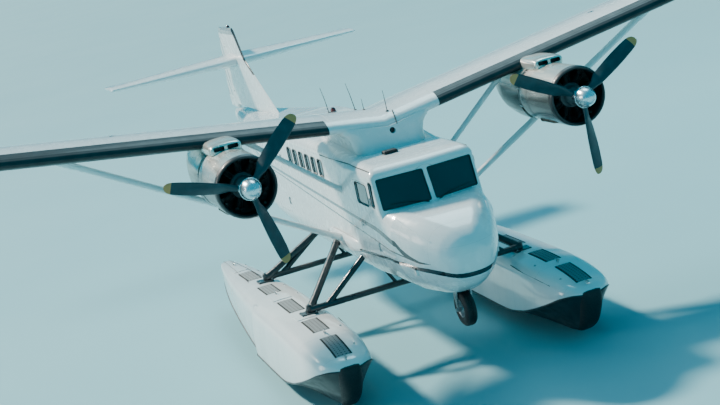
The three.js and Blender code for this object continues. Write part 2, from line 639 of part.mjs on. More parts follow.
const finRing = (height) => {
  const path = finProfile;
  let lead = path[0][0];
  for (let i = 0; i + 1 < path.length; i++) {
    const [[s0, h0], [s1, h1]] = [path[i], path[i + 1]];
    if (height >= h0) lead = s0 + (s1 - s0) * (height - h0) / (h1 - h0);
  }
  const h = fin.thickness / 2;
  const back = fin.hinge - 60;
  const long = back - lead;
  const right = [[0, 0], [0.04, 0.35], [0.12, 0.62], [0.3, 0.92], [0.5, 1], [1, 0.86]]
    .map(([u, w]) => [w * h, lead + u * long]);
  return [...right, ...right.slice(1).map(([x, y]) => [-x, y]).reverse()].map(([x, y]) => [x, y, height]);
};
const tailSpace = union(...[[0, GAP], [0, -GAP], [-GAP, 0], [GAP, 0]]
  .map(([y, z]) => tailplaneSolid.translate(0, y, z)));
const tailTop = loft(tailSections.map((row) => fuselageRing(row, -GAP)));
const tubeSpace = rod([-200, tailHinge, tail.height], [200, tailHinge, tail.height], 45, 16)
  .add(box(-200, 200, tailHinge, tailHinge + 200, tail.height - 45, tail.height + 45));
const finSolid = loft([3400, 3600, 4000, 4500, 4900, fin.top - 90, fin.top].map((h) => finRing(h)))
  .add(box(-45, 45, 13300, fin.hinge - 60, 3200, 3450));
// Rudder, on three knuckles that stand out of the fin
const rudderRing = (height, chord) => {
  const r = 42;
  const nose = Array.from({ length: 7 }, (_, i) => {
    const angle = (180 * i / 6) * Math.PI / 180;
    return [r * Math.cos(angle), fin.hinge - r * Math.sin(angle)];
  });
  return [...nose, [-5, fin.hinge + chord], [5, fin.hinge + chord]].map(([x, y]) => [x, y, height]);
};
let finBody = finSolid.subtract(tailSpace).subtract(tailTop).subtract(tubeSpace);
const rudderSections = [
  [3300, 780], [3500, 820], [4200, 700], [4900, 500], [fin.top - 90, 430], [fin.top - 15, 330],
];
let rudder = loft(rudderSections.map(([height, chord]) => rudderRing(height, chord))).subtract(tubeSpace);
for (const height of [3700, 4740, 5060]) {
  rudder = rudder.subtract(rod([0, fin.hinge, height - 15 - GAP], [0, fin.hinge, height + 15 + GAP], 60, 20));
  finBody = finBody.add(rod([0, fin.hinge, height - 15], [0, fin.hinge, height + 15], 18, 16))
    .add(box(-9, 9, fin.hinge - 90, fin.hinge, height - 11, height + 11));
}
piece('fin', white, finBody);
piece('rudder', white, rudder);

// Nose gear: a leg from the roof of its well, the steered fork, the wheel and its tyre
const { station: wheelStation, radius: tyreRadius, width: tyreWidth } = noseWheel;
const axleHeight = noseWheel.bottom + tyreRadius;
const crown = { low: 1458, high: 1490, arm: tyreWidth / 2 + 12, armThick: 26 };
piece('nose_leg', bare, rod([0, wheelStation, crown.high + GAP], [0, wheelStation, well.roof - GAP], 46, 20));
const wheelHub = 78;
let fork = rod([0, wheelStation, crown.low], [0, wheelStation, crown.high], 140, 28);
for (const [, s] of sides) {
  const [inner, outer] = [s * crown.arm, s * (crown.arm + crown.armThick)];
  fork = fork.add(box(inner, outer, wheelStation - 34, wheelStation + 34, axleHeight - 30, crown.high - 2));
}
const axleEnd = crown.arm + 10;
fork = fork.add(rod([-axleEnd, wheelStation, axleHeight], [axleEnd, wheelStation, axleHeight], 19.7, 24));
piece('nose_fork', bare, fork);
const acrossWheel = (profile, segments) => solidOf(new THREE.LatheGeometry(
  profile.map(([r, x]) => new THREE.Vector2(r, x)), segments,
).rotateZ(Math.PI / 2).translate(0, wheelStation, axleHeight));
const rim = 142;
piece('nose_wheel', bare, acrossWheel([
  [20, -60], [wheelHub, -60], [wheelHub, -30], [rim - 24, -24], [rim - 16, -78], [rim, -78], [rim, 78],
  [rim - 16, 78], [rim - 24, 24], [wheelHub, 30], [wheelHub, 60], [20, 60], [20, -60],
], 24));
const half = tyreWidth / 2;
piece('nose_tyre', rubber, acrossWheel([
  [rim + GAP, -76], [tyreRadius - 80, -half], [tyreRadius - 30, -half + 12], [tyreRadius, -half + 60],
  [tyreRadius, half - 60], [tyreRadius - 30, half - 12], [tyreRadius - 80, half], [rim + GAP, 76],
  [rim + GAP, -76],
], 24));

// Floats. Table: station, chine half width, deck half width, then the heights of the keel, the chine,
// the deck's edge and the deck's crown. The keel is a flat shoe.
const floatSections = [
  [1060, 140, 120, 700, 820, 875, 890],
  [1140, 280, 225, 470, 825, 920, 945],
  [1330, 430, 330, 220, 780, 975, 1010],
  [1700, 525, 400, 60, 640, 1030, 1080],
  [2200, 580, 440, 0, 470, 1075, 1130],
  [2700, 595, 455, 0, 335, 1095, 1155],
  [3400, 595, 460, 0, 240, 1100, 1160],
  [float.step, 585, 460, 0, 230, 1100, 1160],
  [float.step + 1, 555, 460, 80, 300, 1100, 1160],
  [6300, 475, 405, 190, 390, 1080, 1140],
  [8000, 320, 290, 380, 520, 1040, 1090],
  [9200, 130, 130, 560, 640, 980, 1020],
  [float.stern, 60, 60, 620, 680, 940, 970],
];
const floatRing = ([station, chineHalf, deckHalf, keel, chine, deck, crownHeight]) => {
  const shoe = Math.min(36, chineHalf * 0.4);
  const shoulder = (deck - chine) * 0.18;
  const halfRing = [
    [shoe, keel], [chineHalf * 0.6, keel + (chine - keel) * 0.62],
    [chineHalf, chine - 12], [chineHalf, chine + 12],
    [chineHalf * 0.97, chine + (deck - chine) * 0.4],
    [deckHalf + (chineHalf - deckHalf) * 0.5, deck - shoulder],
    [deckHalf, deck - shoulder * 0.25], [deckHalf * 0.8, deck + (crownHeight - deck) * 0.45],
    [deckHalf * 0.4, crownHeight - (crownHeight - deck) * 0.15],
  ];
  return [...halfRing, [0, crownHeight], ...halfRing.map(([x, z]) => [-x, z]).reverse()]
    .map(([x, z]) => [x, station, z]);
};
const rudderPost = { station: float.stern + 40, low: 695, high: 920 };
// Outline of a water rudder: distance behind its post, height
const waterRudder = [[0, 730], [80, 700], [200, 540], [340, 580], [320, 860], [0, 905]];
for (const [side, s] of sides) {
  const at = (solid) => solid.translate(s * float.x, 0, 0);
  const lug = (low, high) => box(-22, 22, float.stern - 60, rudderPost.station + 20, low, high);
  piece(`float_${side}`, white, at(union(loft(floatSections.map(floatRing)),
    lug(rudderPost.low - 16, rudderPost.low), lug(rudderPost.high, rudderPost.high + 16))));
  piece(`water_rudder_${side}`, bare, at(union(
    rod([0, rudderPost.station, rudderPost.low + GAP],
      [0, rudderPost.station, rudderPost.high - GAP], 18, 16),
    loft([-7, 7].map((x) => waterRudder.map(([aft, height]) => [x, rudderPost.station + aft, height]))),
  )));
}

// Trusses between the floats and the fuselage: a spreader across, legs up to the fittings and diagonals
const footPlate = (s, station, deck) => box(s * (float.foot - 110), s * (float.x + 40), station - 110,
  station + 110, deck + GAP, deck + 26);
const bodyRoom = union(
  loft(cabinSections.map((row) => fuselageRing(row, -GAP))),
  box(-fitting.reach - GAP, fitting.reach + GAP, 3250, 5150, 1880 - GAP, 2300),
);
// Truss table: station, deck height, height of the bars, the top of each leg, height of the
// diagonals' tops
const trusses = [
  ['front_float_truss', frontFrame, 1160, 1225, [930, 4400, 2000], 1900],
  ['rear_float_truss', rearFrame, 1142, 1205, [760, 6300, 1800], 1800],
];
for (const [name, station, deck, height, legTop, diagonalTop] of trusses) {
  let truss = bar([-float.foot, station, height], [float.foot, station, height], 190, 105);
  for (const [, s] of sides) {
    truss = truss.add(footPlate(s, station, deck))
      .add(rod([s * float.foot, station, deck + 10], [s * float.foot, station, height + 70], 62, 16))
      .add(bar([s * float.foot, station, height], [s * legTop[0], legTop[1], legTop[2]], 200, 112))
      .add(bar([s * 1600, station + 10, height], [s * 740, station + 40, diagonalTop], 170, 95))
      .add(bar([s * 360, station + 10, height], [s * 590, station + 10, 1660], 110, 58));
  }
  piece(name, charcoal, truss.subtract(bodyRoom));
}

// The origin is under the middle of the whole aeroplane, at the level of the keels.
for (const mesh of aircraft.children) mesh.position.y = -middleStation;

export default aircraft;
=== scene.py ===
"""A twin-engined, strut-braced, high-wing floatplane, standing on its keels on a pale studio floor.

Every surface is written in metres along the aeroplane's own stations: x to its left, station aft from
just ahead of the nose, z up from the keels. `mesh_object` turns a station into the frame's y.
"""
import math

import bmesh
import bpy
import numpy as np
from mathutils import Matrix, Vector


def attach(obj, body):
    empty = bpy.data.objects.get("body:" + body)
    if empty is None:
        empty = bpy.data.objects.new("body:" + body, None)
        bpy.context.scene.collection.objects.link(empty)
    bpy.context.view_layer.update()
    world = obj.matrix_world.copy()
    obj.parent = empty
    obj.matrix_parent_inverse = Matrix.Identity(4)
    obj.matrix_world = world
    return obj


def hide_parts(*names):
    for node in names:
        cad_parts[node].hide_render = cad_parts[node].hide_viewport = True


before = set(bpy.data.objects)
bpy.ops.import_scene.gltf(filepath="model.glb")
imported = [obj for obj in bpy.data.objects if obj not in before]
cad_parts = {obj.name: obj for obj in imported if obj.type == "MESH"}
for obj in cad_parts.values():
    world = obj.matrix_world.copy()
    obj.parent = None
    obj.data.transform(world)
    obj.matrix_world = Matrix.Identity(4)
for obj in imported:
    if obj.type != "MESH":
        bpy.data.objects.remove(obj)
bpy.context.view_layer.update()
MIDDLE = 7.659
SIDES = (("left", 1), ("right", -1))
UP = (0, 0, 1)

# Camera
# It stands ahead of the aeroplane on its right and about eight metres up, a little above the wing,
# with a long lens and the horizon tilted, as the picture was taken.
view = {"place": Vector((-7.211, -27.529, 7.94)), "target": Vector((0.177, -1.195, 2.042)), "roll": -12.48}
ahead = (view["target"] - view["place"]).normalized()
level = ahead.cross(Vector(UP)).normalized()
upward = level.cross(ahead)
roll = math.radians(view["roll"])
across = math.cos(roll) * level + math.sin(roll) * upward
top = -math.sin(roll) * level + math.cos(roll) * upward


def placed(name, data):
    """A new object in the scene."""
    obj = bpy.data.objects.new(name, data)
    bpy.context.scene.collection.objects.link(obj)
    return obj


camera = placed("camera", bpy.data.cameras.new("camera"))
camera.data.sensor_width = 36
camera.data.lens = 75
camera.data.clip_end = 3000
camera.matrix_world = Matrix((across, top, -ahead)).transposed().to_4x4()
camera.location = view["place"]
bpy.context.scene.camera = camera


# Nose
# A riveted aluminium shell in gloss white, rounded everywhere, with an open well under it for the nose
# wheel, whose walls are painted near-black as shade. Dark stripes wrap round it and run back along the
# sides; the upper one turns grey aft of the cockpit, a painted highlight.
class Tone:
    """A value inside a material. Arithmetic with numbers or other tones adds Math nodes."""

    def __init__(self, finish, socket):
        self.finish = finish
        self.socket = socket

    def sums(operation, swapped=False):
        """A method for one operation of this tone and another value, the other one first if swapped."""
        def method(self, other):
            values = (other, self) if swapped else (self, other)
            return self.finish.node("ShaderNodeMath", {"operation": operation}, dict(enumerate(values)))
        return method

    __add__, __radd__ = sums("ADD"), sums("ADD", True)
    __sub__, __rsub__ = sums("SUBTRACT"), sums("SUBTRACT", True)
    __mul__, __rmul__ = sums("MULTIPLY"), sums("MULTIPLY", True)
    __truediv__, __mod__, __pow__ = sums("DIVIDE"), sums("FLOORED_MODULO"), sums("POWER")
    most = sums("MAXIMUM")

    def __abs__(self):
        return self.finish.node("ShaderNodeMath", {"operation": "ABSOLUTE"}, {0: self})

    def ramp(self, start, end, low=0.0, high=1.0, smooth=False):
        """low up to start, high from end on, and a straight or a smooth slope between them."""
        settings = {"interpolation_type": "SMOOTHSTEP" if smooth else "LINEAR", "clamp": True}
        return self.finish.node("ShaderNodeMapRange", settings, {0: self, 1: start, 2: end, 3: low, 4: high})

    def above(self, edge, soft=0.001):
        return self.ramp(edge - soft, edge + soft)

    def below(self, edge, soft=0.001):
        return self.ramp(edge - soft, edge + soft, 1.0, 0.0)

    def between(self, low, high, soft=0.001):
        return self.above(low, soft) * self.below(high, soft)

    def along(self, points):
        """A line of straight pieces through (this tone, value) points."""
        total = points[0][1]
        for (start, low), (end, high) in zip(points, points[1:]):
            total = self.ramp(start, end, 0.0, high - low) + total
        return total


class Finish:
    """A material around one Principled shader. Constants are set on its sockets by name.

    slot names a material slot; it is kept on the finish and nothing reads it.
    """

    def __init__(self, name, colour, roughness, metallic=0.0, slot=None, **constants):
        self.slot = slot
        self.material = bpy.data.materials.new(name)
        self.material.use_nodes = True
        self.tree = self.material.node_tree
        self.shader = next(n for n in self.tree.nodes if n.type == "BSDF_PRINCIPLED")
        self.feed("Base Color", (*colour, 1))
        self.feed("Roughness", roughness)
        self.feed("Metallic", metallic)
        for socket, value in constants.items():
            self.feed(socket.replace("_", " "), value)

    def feed(self, socket, value):
        if isinstance(value, Tone):
            self.tree.links.new(value.socket, self.shader.inputs[socket])
        else:
            self.shader.inputs[socket].default_value = value

    def node(self, kind, settings, values, out=0):
        """One node: its settings first, then its inputs by number or name, as numbers, colours or tones."""
        node = self.tree.nodes.new(kind)
        for key, value in settings.items():
            setattr(node, key, value)
        for key, value in values.items():
            if isinstance(value, Tone):
                self.tree.links.new(value.socket, node.inputs[key])
            else:
                node.inputs[key].default_value = value
        return Tone(self, node.outputs[out])

    def place(self):
        """x, station and z of the point."""
        where = self.node("ShaderNodeTexCoord", {}, {}, "Object")
        split = self.node("ShaderNodeSeparateXYZ", {}, {0: where}).socket.node
        x, y, z = (Tone(self, split.outputs[i]) for i in range(3))
        return x, y + MIDDLE, z

    def noise(self, scale, detail=3.0, stretch=(1, 1, 1)):
        where = self.node("ShaderNodeTexCoord", {}, {}, "Object")
        where = self.node("ShaderNodeVectorMath", {"operation": "MULTIPLY"}, {0: where, 1: stretch})
        return self.node("ShaderNodeTexNoise", {}, {"Vector": where, "Scale": scale, "Detail": detail})

    def mix(self, share, first, second):
        """first where share is 0 and second where it is 1, as colours."""
        first, second = ((*c, 1) if isinstance(c, tuple) and len(c) == 3 else c for c in (first, second))
        return self.node("ShaderNodeMix", {"data_type": "RGBA"}, {0: share, 6: first, 7: second}, 2)

    def mottle(self, noise, ramp, first, second):
        """A base colour that wanders between two colours."""
        self.feed("Base Color", self.mix(self.noise(*noise).ramp(*ramp), first, second))

    def uneven(self, noise, ramp):
        """A roughness that wanders between the last two numbers of the ramp."""
        self.feed("Roughness", self.noise(*noise).ramp(*ramp))

    def bump(self, height, depth, strength=1.0):
        """Raises the surface by depth where height is 1."""
        values = {"Strength": strength, "Distance": depth, "Height": height}
        self.feed("Normal", self.node("ShaderNodeBump", {}, values))


WHITE = (0.8, 0.83, 0.83)
CHARCOAL = (0.012, 0.019, 0.023)
GREY = (0.24, 0.29, 0.31)
SEAM = (0.12, 0.14, 0.15)


def rivets(u, v, pitch, radius=0.0035):
    """1 on round heads that stand pitch apart along v, where u is the distance from their row."""
    away = (v % pitch) - pitch / 2
    return (u * u + away * away).ramp((radius * 0.6) ** 2, radius ** 2, 1.0, 0.0)


def from_seam(distance, every):
    """How far a point is from the nearest of the lines that stand every metres apart."""
    return abs((distance % every) - every / 2)


def seams(distance, every, width=0.0022):
    """1 on those lines."""
    return from_seam(distance, every).ramp(width * 0.5, width, 1.0, 0.0)


# The stripes' heights along the stations, read off the photo, and half of the thickness of each
UPPER_LINE = [(0.76, 2.1), (0.98, 2.12), (1.17, 2.19), (1.32, 2.27), (1.44, 2.39), (1.76, 2.48),
              (2.1, 2.53), (7.6, 2.77), (12.0, 2.97), (14.4, 3.1)]
UPPER_HALF = [(0.76, 0.0), (0.98, 0.022), (1.3, 0.052), (1.9, 0.044), (3.2, 0.028), (14.4, 0.022)]
MIDDLE_LINE = [(1.1, 2.15), (1.2, 2.17), (1.5, 2.24), (2.09, 2.308), (7.6, 2.69), (14.4, 3.07)]
LOWER_LINE = [(0.37, 1.865), (0.47, 1.894), (0.62, 1.947), (0.86, 1.989), (1.16, 2.016), (1.37, 2.063),
              (1.86, 2.075), (2.57, 2.034), (3.14, 1.984), (5.0, 1.9), (14.0, 1.8)]


def painted_skin(name, colour=WHITE, roughness=0.24):
    """Gloss paint that is a little uneven, with the places of the point to draw on it."""
    finish = Finish(name, colour, roughness, slot="white_paint", Coat_Weight=0.8, Coat_Roughness=0.04)
    cloud = finish.noise(1.3, 5.0)
    streak = finish.noise(9.0, 2.0, (1, 1, 0.12)).ramp(0.45, 0.75)
    worn = tuple(c * 0.88 for c in colour)
    finish.shade = finish.mix(cloud.ramp(0.35, 0.7) * 0.28 + streak * 0.12, colour, worn)
    finish.uneven((6.0, 4.0), (0.3, 0.75, roughness - 0.05, roughness + 0.1))
    return finish, *finish.place()


livery, x, station, z = painted_skin("white_livery")
upper = (z - station.along(UPPER_LINE)) / station.along(UPPER_HALF).most(0.0004)
middle = abs(z - station.along(MIDDLE_LINE)).below(0.011, 0.0008) * station.above(1.12)
lower_half = station.ramp(0.6, 1.5, 0.046, 0.028)
lower = (abs(z - station.along(LOWER_LINE)) / lower_half).below(1, 0.03) * station.below(3.3)
dark = (abs(upper).below(1, 0.03) * station.above(0.77)).most(middle).most(lower)
frames = seams(station, 0.52).most(seams(z + 0.13, 0.55, 0.0018))
shade = livery.mix(dark, livery.shade, CHARCOAL)
# The upper stripe is lightened to grey aft of the cockpit: a painted highlight of the lit side.
shade = livery.mix(abs(upper).below(1, 0.03) * station.above(3.6, 0.6) * 0.6, shade, GREY)
shade = livery.mix(frames * 0.35, shade, SEAM)
livery.feed("Base Color", shade)
row = from_seam(station, 0.52) - 0.016
line = from_seam(z + 0.13, 0.55) - 0.014
heads = rivets(row, z, 0.038).most(rivets(line, station, 0.038))
livery.bump(heads * 0.6 - frames, 0.0012, 0.55)
lining = Finish("cabin_lining", (0.3, 0.33, 0.34), 0.75)
lining.mottle((60, 3.0), (0.4, 0.7), (0.26, 0.29, 0.3), (0.34, 0.37, 0.38))
# Near-black for the walls and roof of the nose wheel's well and the back of the fairing's hole: painted shade
# inside them.
recess_shade = Finish("dark_inside", (0.012, 0.013, 0.014), 0.65, slot="tyre_rubber")
recess_shade.uneven((12, 3.0), (0.3, 0.7, 0.5, 0.85))


def through(table, per_gap):
    """Rows between the rows of a table, per_gap for each gap, on a cubic that never overshoots a row.

    The slope at a row is the harmonic mean of the steps before and after it, or nothing at a turning point.
    """
    rows = np.array(table, float)
    step = np.diff(rows, axis=0)
    before, after = step[:-1], step[1:]
    agree = before * after > 0
    slope = np.where(agree, 2 * before * after / np.where(agree, before + after, 1), 0)
    slope = np.vstack([step[:1], slope, step[-1:]])
    t = np.linspace(0, 1, per_gap, endpoint=False)[:, None]
    a, b, m, n = rows[:-1, None], rows[1:, None], slope[:-1, None], slope[1:, None]
    between = (a * (1 - 3 * t ** 2 + 2 * t ** 3) + b * (3 * t ** 2 - 2 * t ** 3)
               + m * (t - 2 * t ** 2 + t ** 3) + n * (t ** 3 - t ** 2))
    return np.vstack([between.reshape(-1, rows.shape[1]), rows[-1]])


def spread(x, y, z):
    """Points from coordinates that are numbers or arrays whose shapes fit together."""
    return np.stack(np.broadcast_arrays(x, y, z), -1)


def fuselage_rings(rows, inset=0.0, steps=12):
    """A ring at each row: a rectangle with elliptical lower corners and round upper ones.

    A row is station, half width, low, high, width and height of the lower corners, radius of the upper ones.
    """
    at, wide, low, high, corner_wide, corner_tall, radius = (rows[:, i, None] for i in range(7))
    wide, low, high = wide - inset, low + inset, high - inset
    corner_wide, corner_tall, radius = (np.maximum(v - inset, 0.005)
                                        for v in (corner_wide, corner_tall, radius))
    turn = np.radians(np.arange(steps + 1) * 90 / steps)
    parts = []
    for side, across, tall, centre, start in ((1, radius, radius, high - radius, 0),
                                              (-1, radius, radius, high - radius, 90),
                                              (-1, corner_wide, corner_tall, low + corner_tall, 180),
                                              (1, corner_wide, corner_tall, low + corner_tall, 270)):
        angle = turn + math.radians(start)
        xs = side * (wide - across) + across * np.cos(angle)
        parts.append(spread(xs, at, centre + tall * np.sin(angle)))
    return np.concatenate(parts, axis=1)


def loft(rings):
    """Points and faces of a closed skin over rings with the same number of points, flat at both ends."""
    count, n = rings.shape[:2]
    start = np.arange(count - 1)[:, None] * n
    here = np.arange(n)
    after = (here + 1) % n
    quads = np.stack([start + here, start + after, start + n + after, start + n + here], -1)
    ends = [list(range(n))[::-1], list(range((count - 1) * n, count * n))]
    return rings.reshape(-1, 3), quads.reshape(-1, 4).tolist() + ends


def merged(shapes):
    """Several shapes as one set of points and faces."""
    points, faces, start = [], [], 0
    for some, these in shapes:
        points.append(some)
        faces += [[i + start for i in face] for face in these]
        start += len(some)
    return np.vstack(points), faces


def mesh_object(name, shape):
    """An object from the points and faces of a shape or of a list of shapes."""
    points, faces = merged(shape) if isinstance(shape, list) else shape
    mesh = bpy.data.meshes.new(name)
    mesh.from_pydata(points - np.array([0, MIDDLE, 0]), [], faces)
    shell = bmesh.new()
    shell.from_mesh(mesh)
    bmesh.ops.recalc_face_normals(shell, faces=shell.faces)
    shell.to_mesh(mesh)
    shell.free()
    return placed(name, mesh)


def cut(obj, *tools, operation="DIFFERENCE"):
    """Cuts solid shapes out of a solid object, or joins them to it, and keeps the result as its mesh."""
    helpers = [mesh_object("tool", tool) for tool in tools]
    for helper in helpers:
        modifier = obj.modifiers.new("cut", "BOOLEAN")
        modifier.operation = operation
        modifier.solver = "MANIFOLD"
        modifier.object = helper
    done = obj.evaluated_get(bpy.context.evaluated_depsgraph_get())
    old = obj.data
    fresh = bpy.data.meshes.new_from_object(done)
    obj.modifiers.clear()
    obj.data = fresh
    bpy.data.meshes.remove(old)
    for helper in helpers:
        bpy.data.meshes.remove(helper.data)
    return obj


def solid(obj, *finishes, node=None, body="airframe", slot=None, sharp=32, second=None):
    """Gives an object its materials, smooth shading up to the sharp angle and the body it rides on.

    node is the CAD node that it stands for. second(points, normals) says which faces, by their middles in
    stations, take the second material.
    """
    mesh = obj.data
    mesh.materials.clear()
    for finish in finishes:
        mesh.materials.append(finish.material)
    count = len(mesh.polygons)
    mesh.polygons.foreach_set("use_smooth", np.ones(count, bool))
    index = np.zeros(count, np.int32)
    if second:
        centres = np.zeros(count * 3)
        normals = np.zeros(count * 3)
        mesh.polygons.foreach_get("center", centres)
        mesh.polygons.foreach_get("normal", normals)
        centres = centres.reshape(-1, 3) + np.array([0, MIDDLE, 0])
        index = np.asarray(second(centres, normals.reshape(-1, 3))).astype(np.int32)
    mesh.polygons.foreach_set("material_index", index)
    mesh.set_sharp_from_angle(angle=math.radians(sharp))
    if node:
        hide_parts(node)
    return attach(obj, body)


def piece(name, shape, *finishes, **looks):
    """A finished object from a shape."""
    return solid(mesh_object(name, shape), *finishes, **looks)


def block(x0, x1, y0, y1, z0, z1):
    """A box between two values of x, of the station and of the height."""
    return loft(np.array([[[x0, y, z0], [x1, y, z0], [x1, y, z1], [x0, y, z1]] for y in (y0, y1)]))


def faces_in(centre_height):
    """A test for the faces of a shell that look at its long middle line."""
    return lambda at, normal: at[:, 0] * normal[:, 0] + (at[:, 2] - centre_height) * normal[:, 2] < -0.02


NOSE = [[0.372, 0.01, 2.125, 2.155, 0.01, 0.01, 0.01],
        [0.378, 0.09, 2.05, 2.23, 0.085, 0.081, 0.085], [0.397, 0.21, 1.934, 2.33, 0.2, 0.184, 0.19],
        [0.453, 0.33, 1.815, 2.43, 0.315, 0.31, 0.29], [0.565, 0.435, 1.705, 2.53, 0.41, 0.45, 0.34],
        [0.752, 0.55, 1.59, 2.63, 0.51, 0.62, 0.36], [1.051, 0.7, 1.48, 2.74, 0.62, 0.83, 0.37],
        [1.5, 0.855, 1.445, 2.83, 0.7, 0.96, 0.33]]
nose = mesh_object("nose_skin", loft(fuselage_rings(through(NOSE, 10), steps=16)))
WELL_SIDE, WELL_FRONT, WELL_REAR, WELL_ROOF = 0.17, 1.045, 1.415, 1.64
cut(nose, block(-WELL_SIDE, WELL_SIDE, WELL_FRONT, WELL_REAR, 1.3, WELL_ROOF))


def inside_well(at, normal):
    """The walls and the roof of the wheel well."""
    in_box = ((abs(at[:, 0]) < WELL_SIDE + 0.002) & (at[:, 1] > WELL_FRONT - 0.005)
              & (at[:, 1] < WELL_REAR + 0.005) & (at[:, 2] < WELL_ROOF + 0.002))
    return in_box & ((abs(normal[:, 2]) < 0.1) | (at[:, 2] > WELL_ROOF - 0.005))


solid(nose, livery, recess_shade, second=inside_well, node="nose_cone")


# Cockpit
# The same riveted skin, with a raised roof: two flat panes slope back to a rounded brow over them, each
# pane in a rubber seal. A small quarter light and a hinged door with a window are let into each side.
FRONT = through(NOSE + [[1.9, 0.875, 1.455, 2.86, 0.69, 0.87, 0.2],
                        [3.1, 0.875, 1.455, 2.86, 0.62, 0.585, 0.2]], 10)
lower_rows = FRONT[(len(NOSE) - 1) * 10:]
# the gap between the ends of two neighbouring shells
GAP = 0.0003
lower_rows[0, 0] += GAP
ROOF = [[2.6, 0.868, 1.525, 1.69], [2.7, 0.873, 1.56, 1.72], [2.84, 0.875, 1.61, 1.765],
        [3.35, 0.875, 1.81, 1.875]]
bend = np.radians(np.linspace(6, 90, 15))
brow = np.stack([3.35 + 0.17 * np.sin(bend), 0.875 - 0.185 * (1 - np.cos(bend)),
                 1.81 + 0.28 * (1 - np.cos(bend)), 1.875 + 0.305 * (1 - np.cos(bend))], -1)
ROOF = np.vstack([ROOF, brow])


def curve(t, start, towards, end):
    """The quadratic curve from start to end whose tangents there meet at the value between them."""
    return (1 - t) ** 2 * start + 2 * t * (1 - t) * towards + t ** 2 * end


def roof_rings(rows, rear, inset=0.0):
    """A level outline at each row of height, half width, and the front's station at the middle and corner.

    Each half of the front is straight, then a quadratic curve turns it into the side.
    """
    height, wide, middle, corner = (rows[:, i, None] for i in range(4))
    wide, middle, corner = wide - inset, middle + inset, corner + inset
    t = np.linspace(0, 1, 11)
    xs = np.hstack([curve(t, wide - 0.07, wide - 0.004, wide), wide])
    ys = np.hstack([curve(t, corner, corner + 0.012, corner + 0.09), np.full_like(wide, rear)])
    xs = np.hstack([0 * wide, xs, -xs[:, ::-1]])
    ys = np.hstack([middle, ys, ys[:, ::-1]])
    zs = np.broadcast_to(height, xs.shape).copy()
    zs[-1] -= inset
    return np.stack([xs, ys, zs], -1)


# x beyond the skin of the body, and the depth of its wall with the frames and the lining
OUTSIDE, WALL = 0.95, 0.04


def rounded(u0, u1, v0, v1, radius, steps=6):
    """Points of a rectangle with round corners."""
    turn = np.radians(np.add.outer([0, 90, 180, 270], np.arange(steps + 1) * 90 / steps))
    u = np.array([u1 - radius, u0 + radius, u0 + radius, u1 - radius])[:, None]
    v = np.array([v1 - radius, v1 - radius, v0 + radius, v0 + radius])[:, None]
    return np.stack([u + radius * np.cos(turn), v + radius * np.sin(turn)], -1).reshape(-1, 2)


def across_x(outline, x0=-OUTSIDE, x1=OUTSIDE):
    """A prism across the aeroplane over an outline of stations and heights."""
    return loft(np.stack([spread(x, *outline.T) for x in (x0, x1)]))


def along_y(outline, y0, y1):
    """A prism along the aeroplane over an outline of x and heights."""
    return loft(np.stack([spread(outline[:, 0], y, outline[:, 1]) for y in (y0, y1)]))


def unit(vector):
    """The vector, or each vector of a table, at length 1."""
    vector = np.asarray(vector, float)
    return vector / np.linalg.norm(vector, axis=-1, keepdims=True)


def tube(path, radius, sides=8, loop=False):
    """A round tube along a line of points. Its rings stand square to it and share one sideways axis."""
    path = np.asarray(path, float)
    forward = np.roll(path, -1, 0) - np.roll(path, 1, 0)
    if not loop:
        forward[0], forward[-1] = path[1] - path[0], path[-1] - path[-2]
    forward = unit(forward)
    axis = np.eye(3)[np.argmin(np.abs(forward).max(0))]
    side = unit(np.cross(forward, axis))
    other = np.cross(forward, side)
    turn = np.arange(sides) * 2 * np.pi / sides
    radius = np.broadcast_to(radius, len(path))[:, None, None]
    rings = path[:, None] + radius * (np.cos(turn)[None, :, None] * side[:, None]
                                      + np.sin(turn)[None, :, None] * other[:, None])
    if not loop:
        return loft(rings)
    rings = np.vstack([rings, rings[:1]])
    points, faces = loft(rings)
    n = len(points) - sides
    return points[:n], [[i % n for i in face] for face in faces[:-2]]


rubber = Finish("black_rubber", (0.012, 0.013, 0.014), 0.6, slot="tyre_rubber")
rubber.uneven((40, 3.0), (0.3, 0.7, 0.5, 0.72))
rubber.bump(rubber.noise(180, 3.0), 0.0008, 0.3)
glass = Finish("tinted_glass", (0.01, 0.02, 0.022), 0.03, slot="tinted_glass", Alpha=0.86,
               Coat_Weight=1.0, Coat_Roughness=0.02)
glass.mottle((2.0, 3.0), (0.4, 0.6), (0.008, 0.016, 0.018), (0.014, 0.026, 0.028))
steel = Finish("bare_steel", (0.42, 0.44, 0.45), 0.3, 1.0, slot="bare_metal")
steel.uneven((30, 4.0, (1, 1, 6)), (0.3, 0.7, 0.22, 0.4))

cockpit = mesh_object("cockpit_skin", loft(fuselage_rings(lower_rows, steps=16)))
cut(cockpit, loft(roof_rings(ROOF, 3.1)), operation="UNION")
hollow = np.array([[1.54, 0.857, 1.446, 2.833, 0.699, 0.951, 0.317],
                   [1.9, 0.875, 1.455, 2.86, 0.69, 0.87, 0.2],
                   [3.15, 0.875, 1.455, 2.86, 0.62, 0.585, 0.2]])
inside_roof = loft(roof_rings(ROOF, 3.15, WALL))
pane_outline = rounded(0.042, 0.798, 2.865, 3.335, 0.022)
cut(cockpit, loft(fuselage_rings(hollow, WALL)), inside_roof,
    *(along_y(pane_outline * [s, 1], 1.45, 2.0) for _, s in SIDES),
    across_x(rounded(1.93, 2.06, 2.9, 3.3, 0.045)))

PANE_INSIDE, PANE_OUTSIDE, SEAL_X = 0.853, 0.86, 0.8755
DOORS = {"cockpit_door": {"front": 2.13, "rear": 2.9, "low": 1.98, "high": 3.26, "round": 0.07,
                          "window": (2.22, 2.8, 2.88, 3.225), "handle": (2.74, 2.5)},
         "cabin_door": {"front": 7.48, "rear": 8.33, "low": 1.98, "high": 3.36, "round": 0.09,
                        "window": (7.7, 8.11, 3.0, 3.31), "handle": (8.16, 2.62)}}


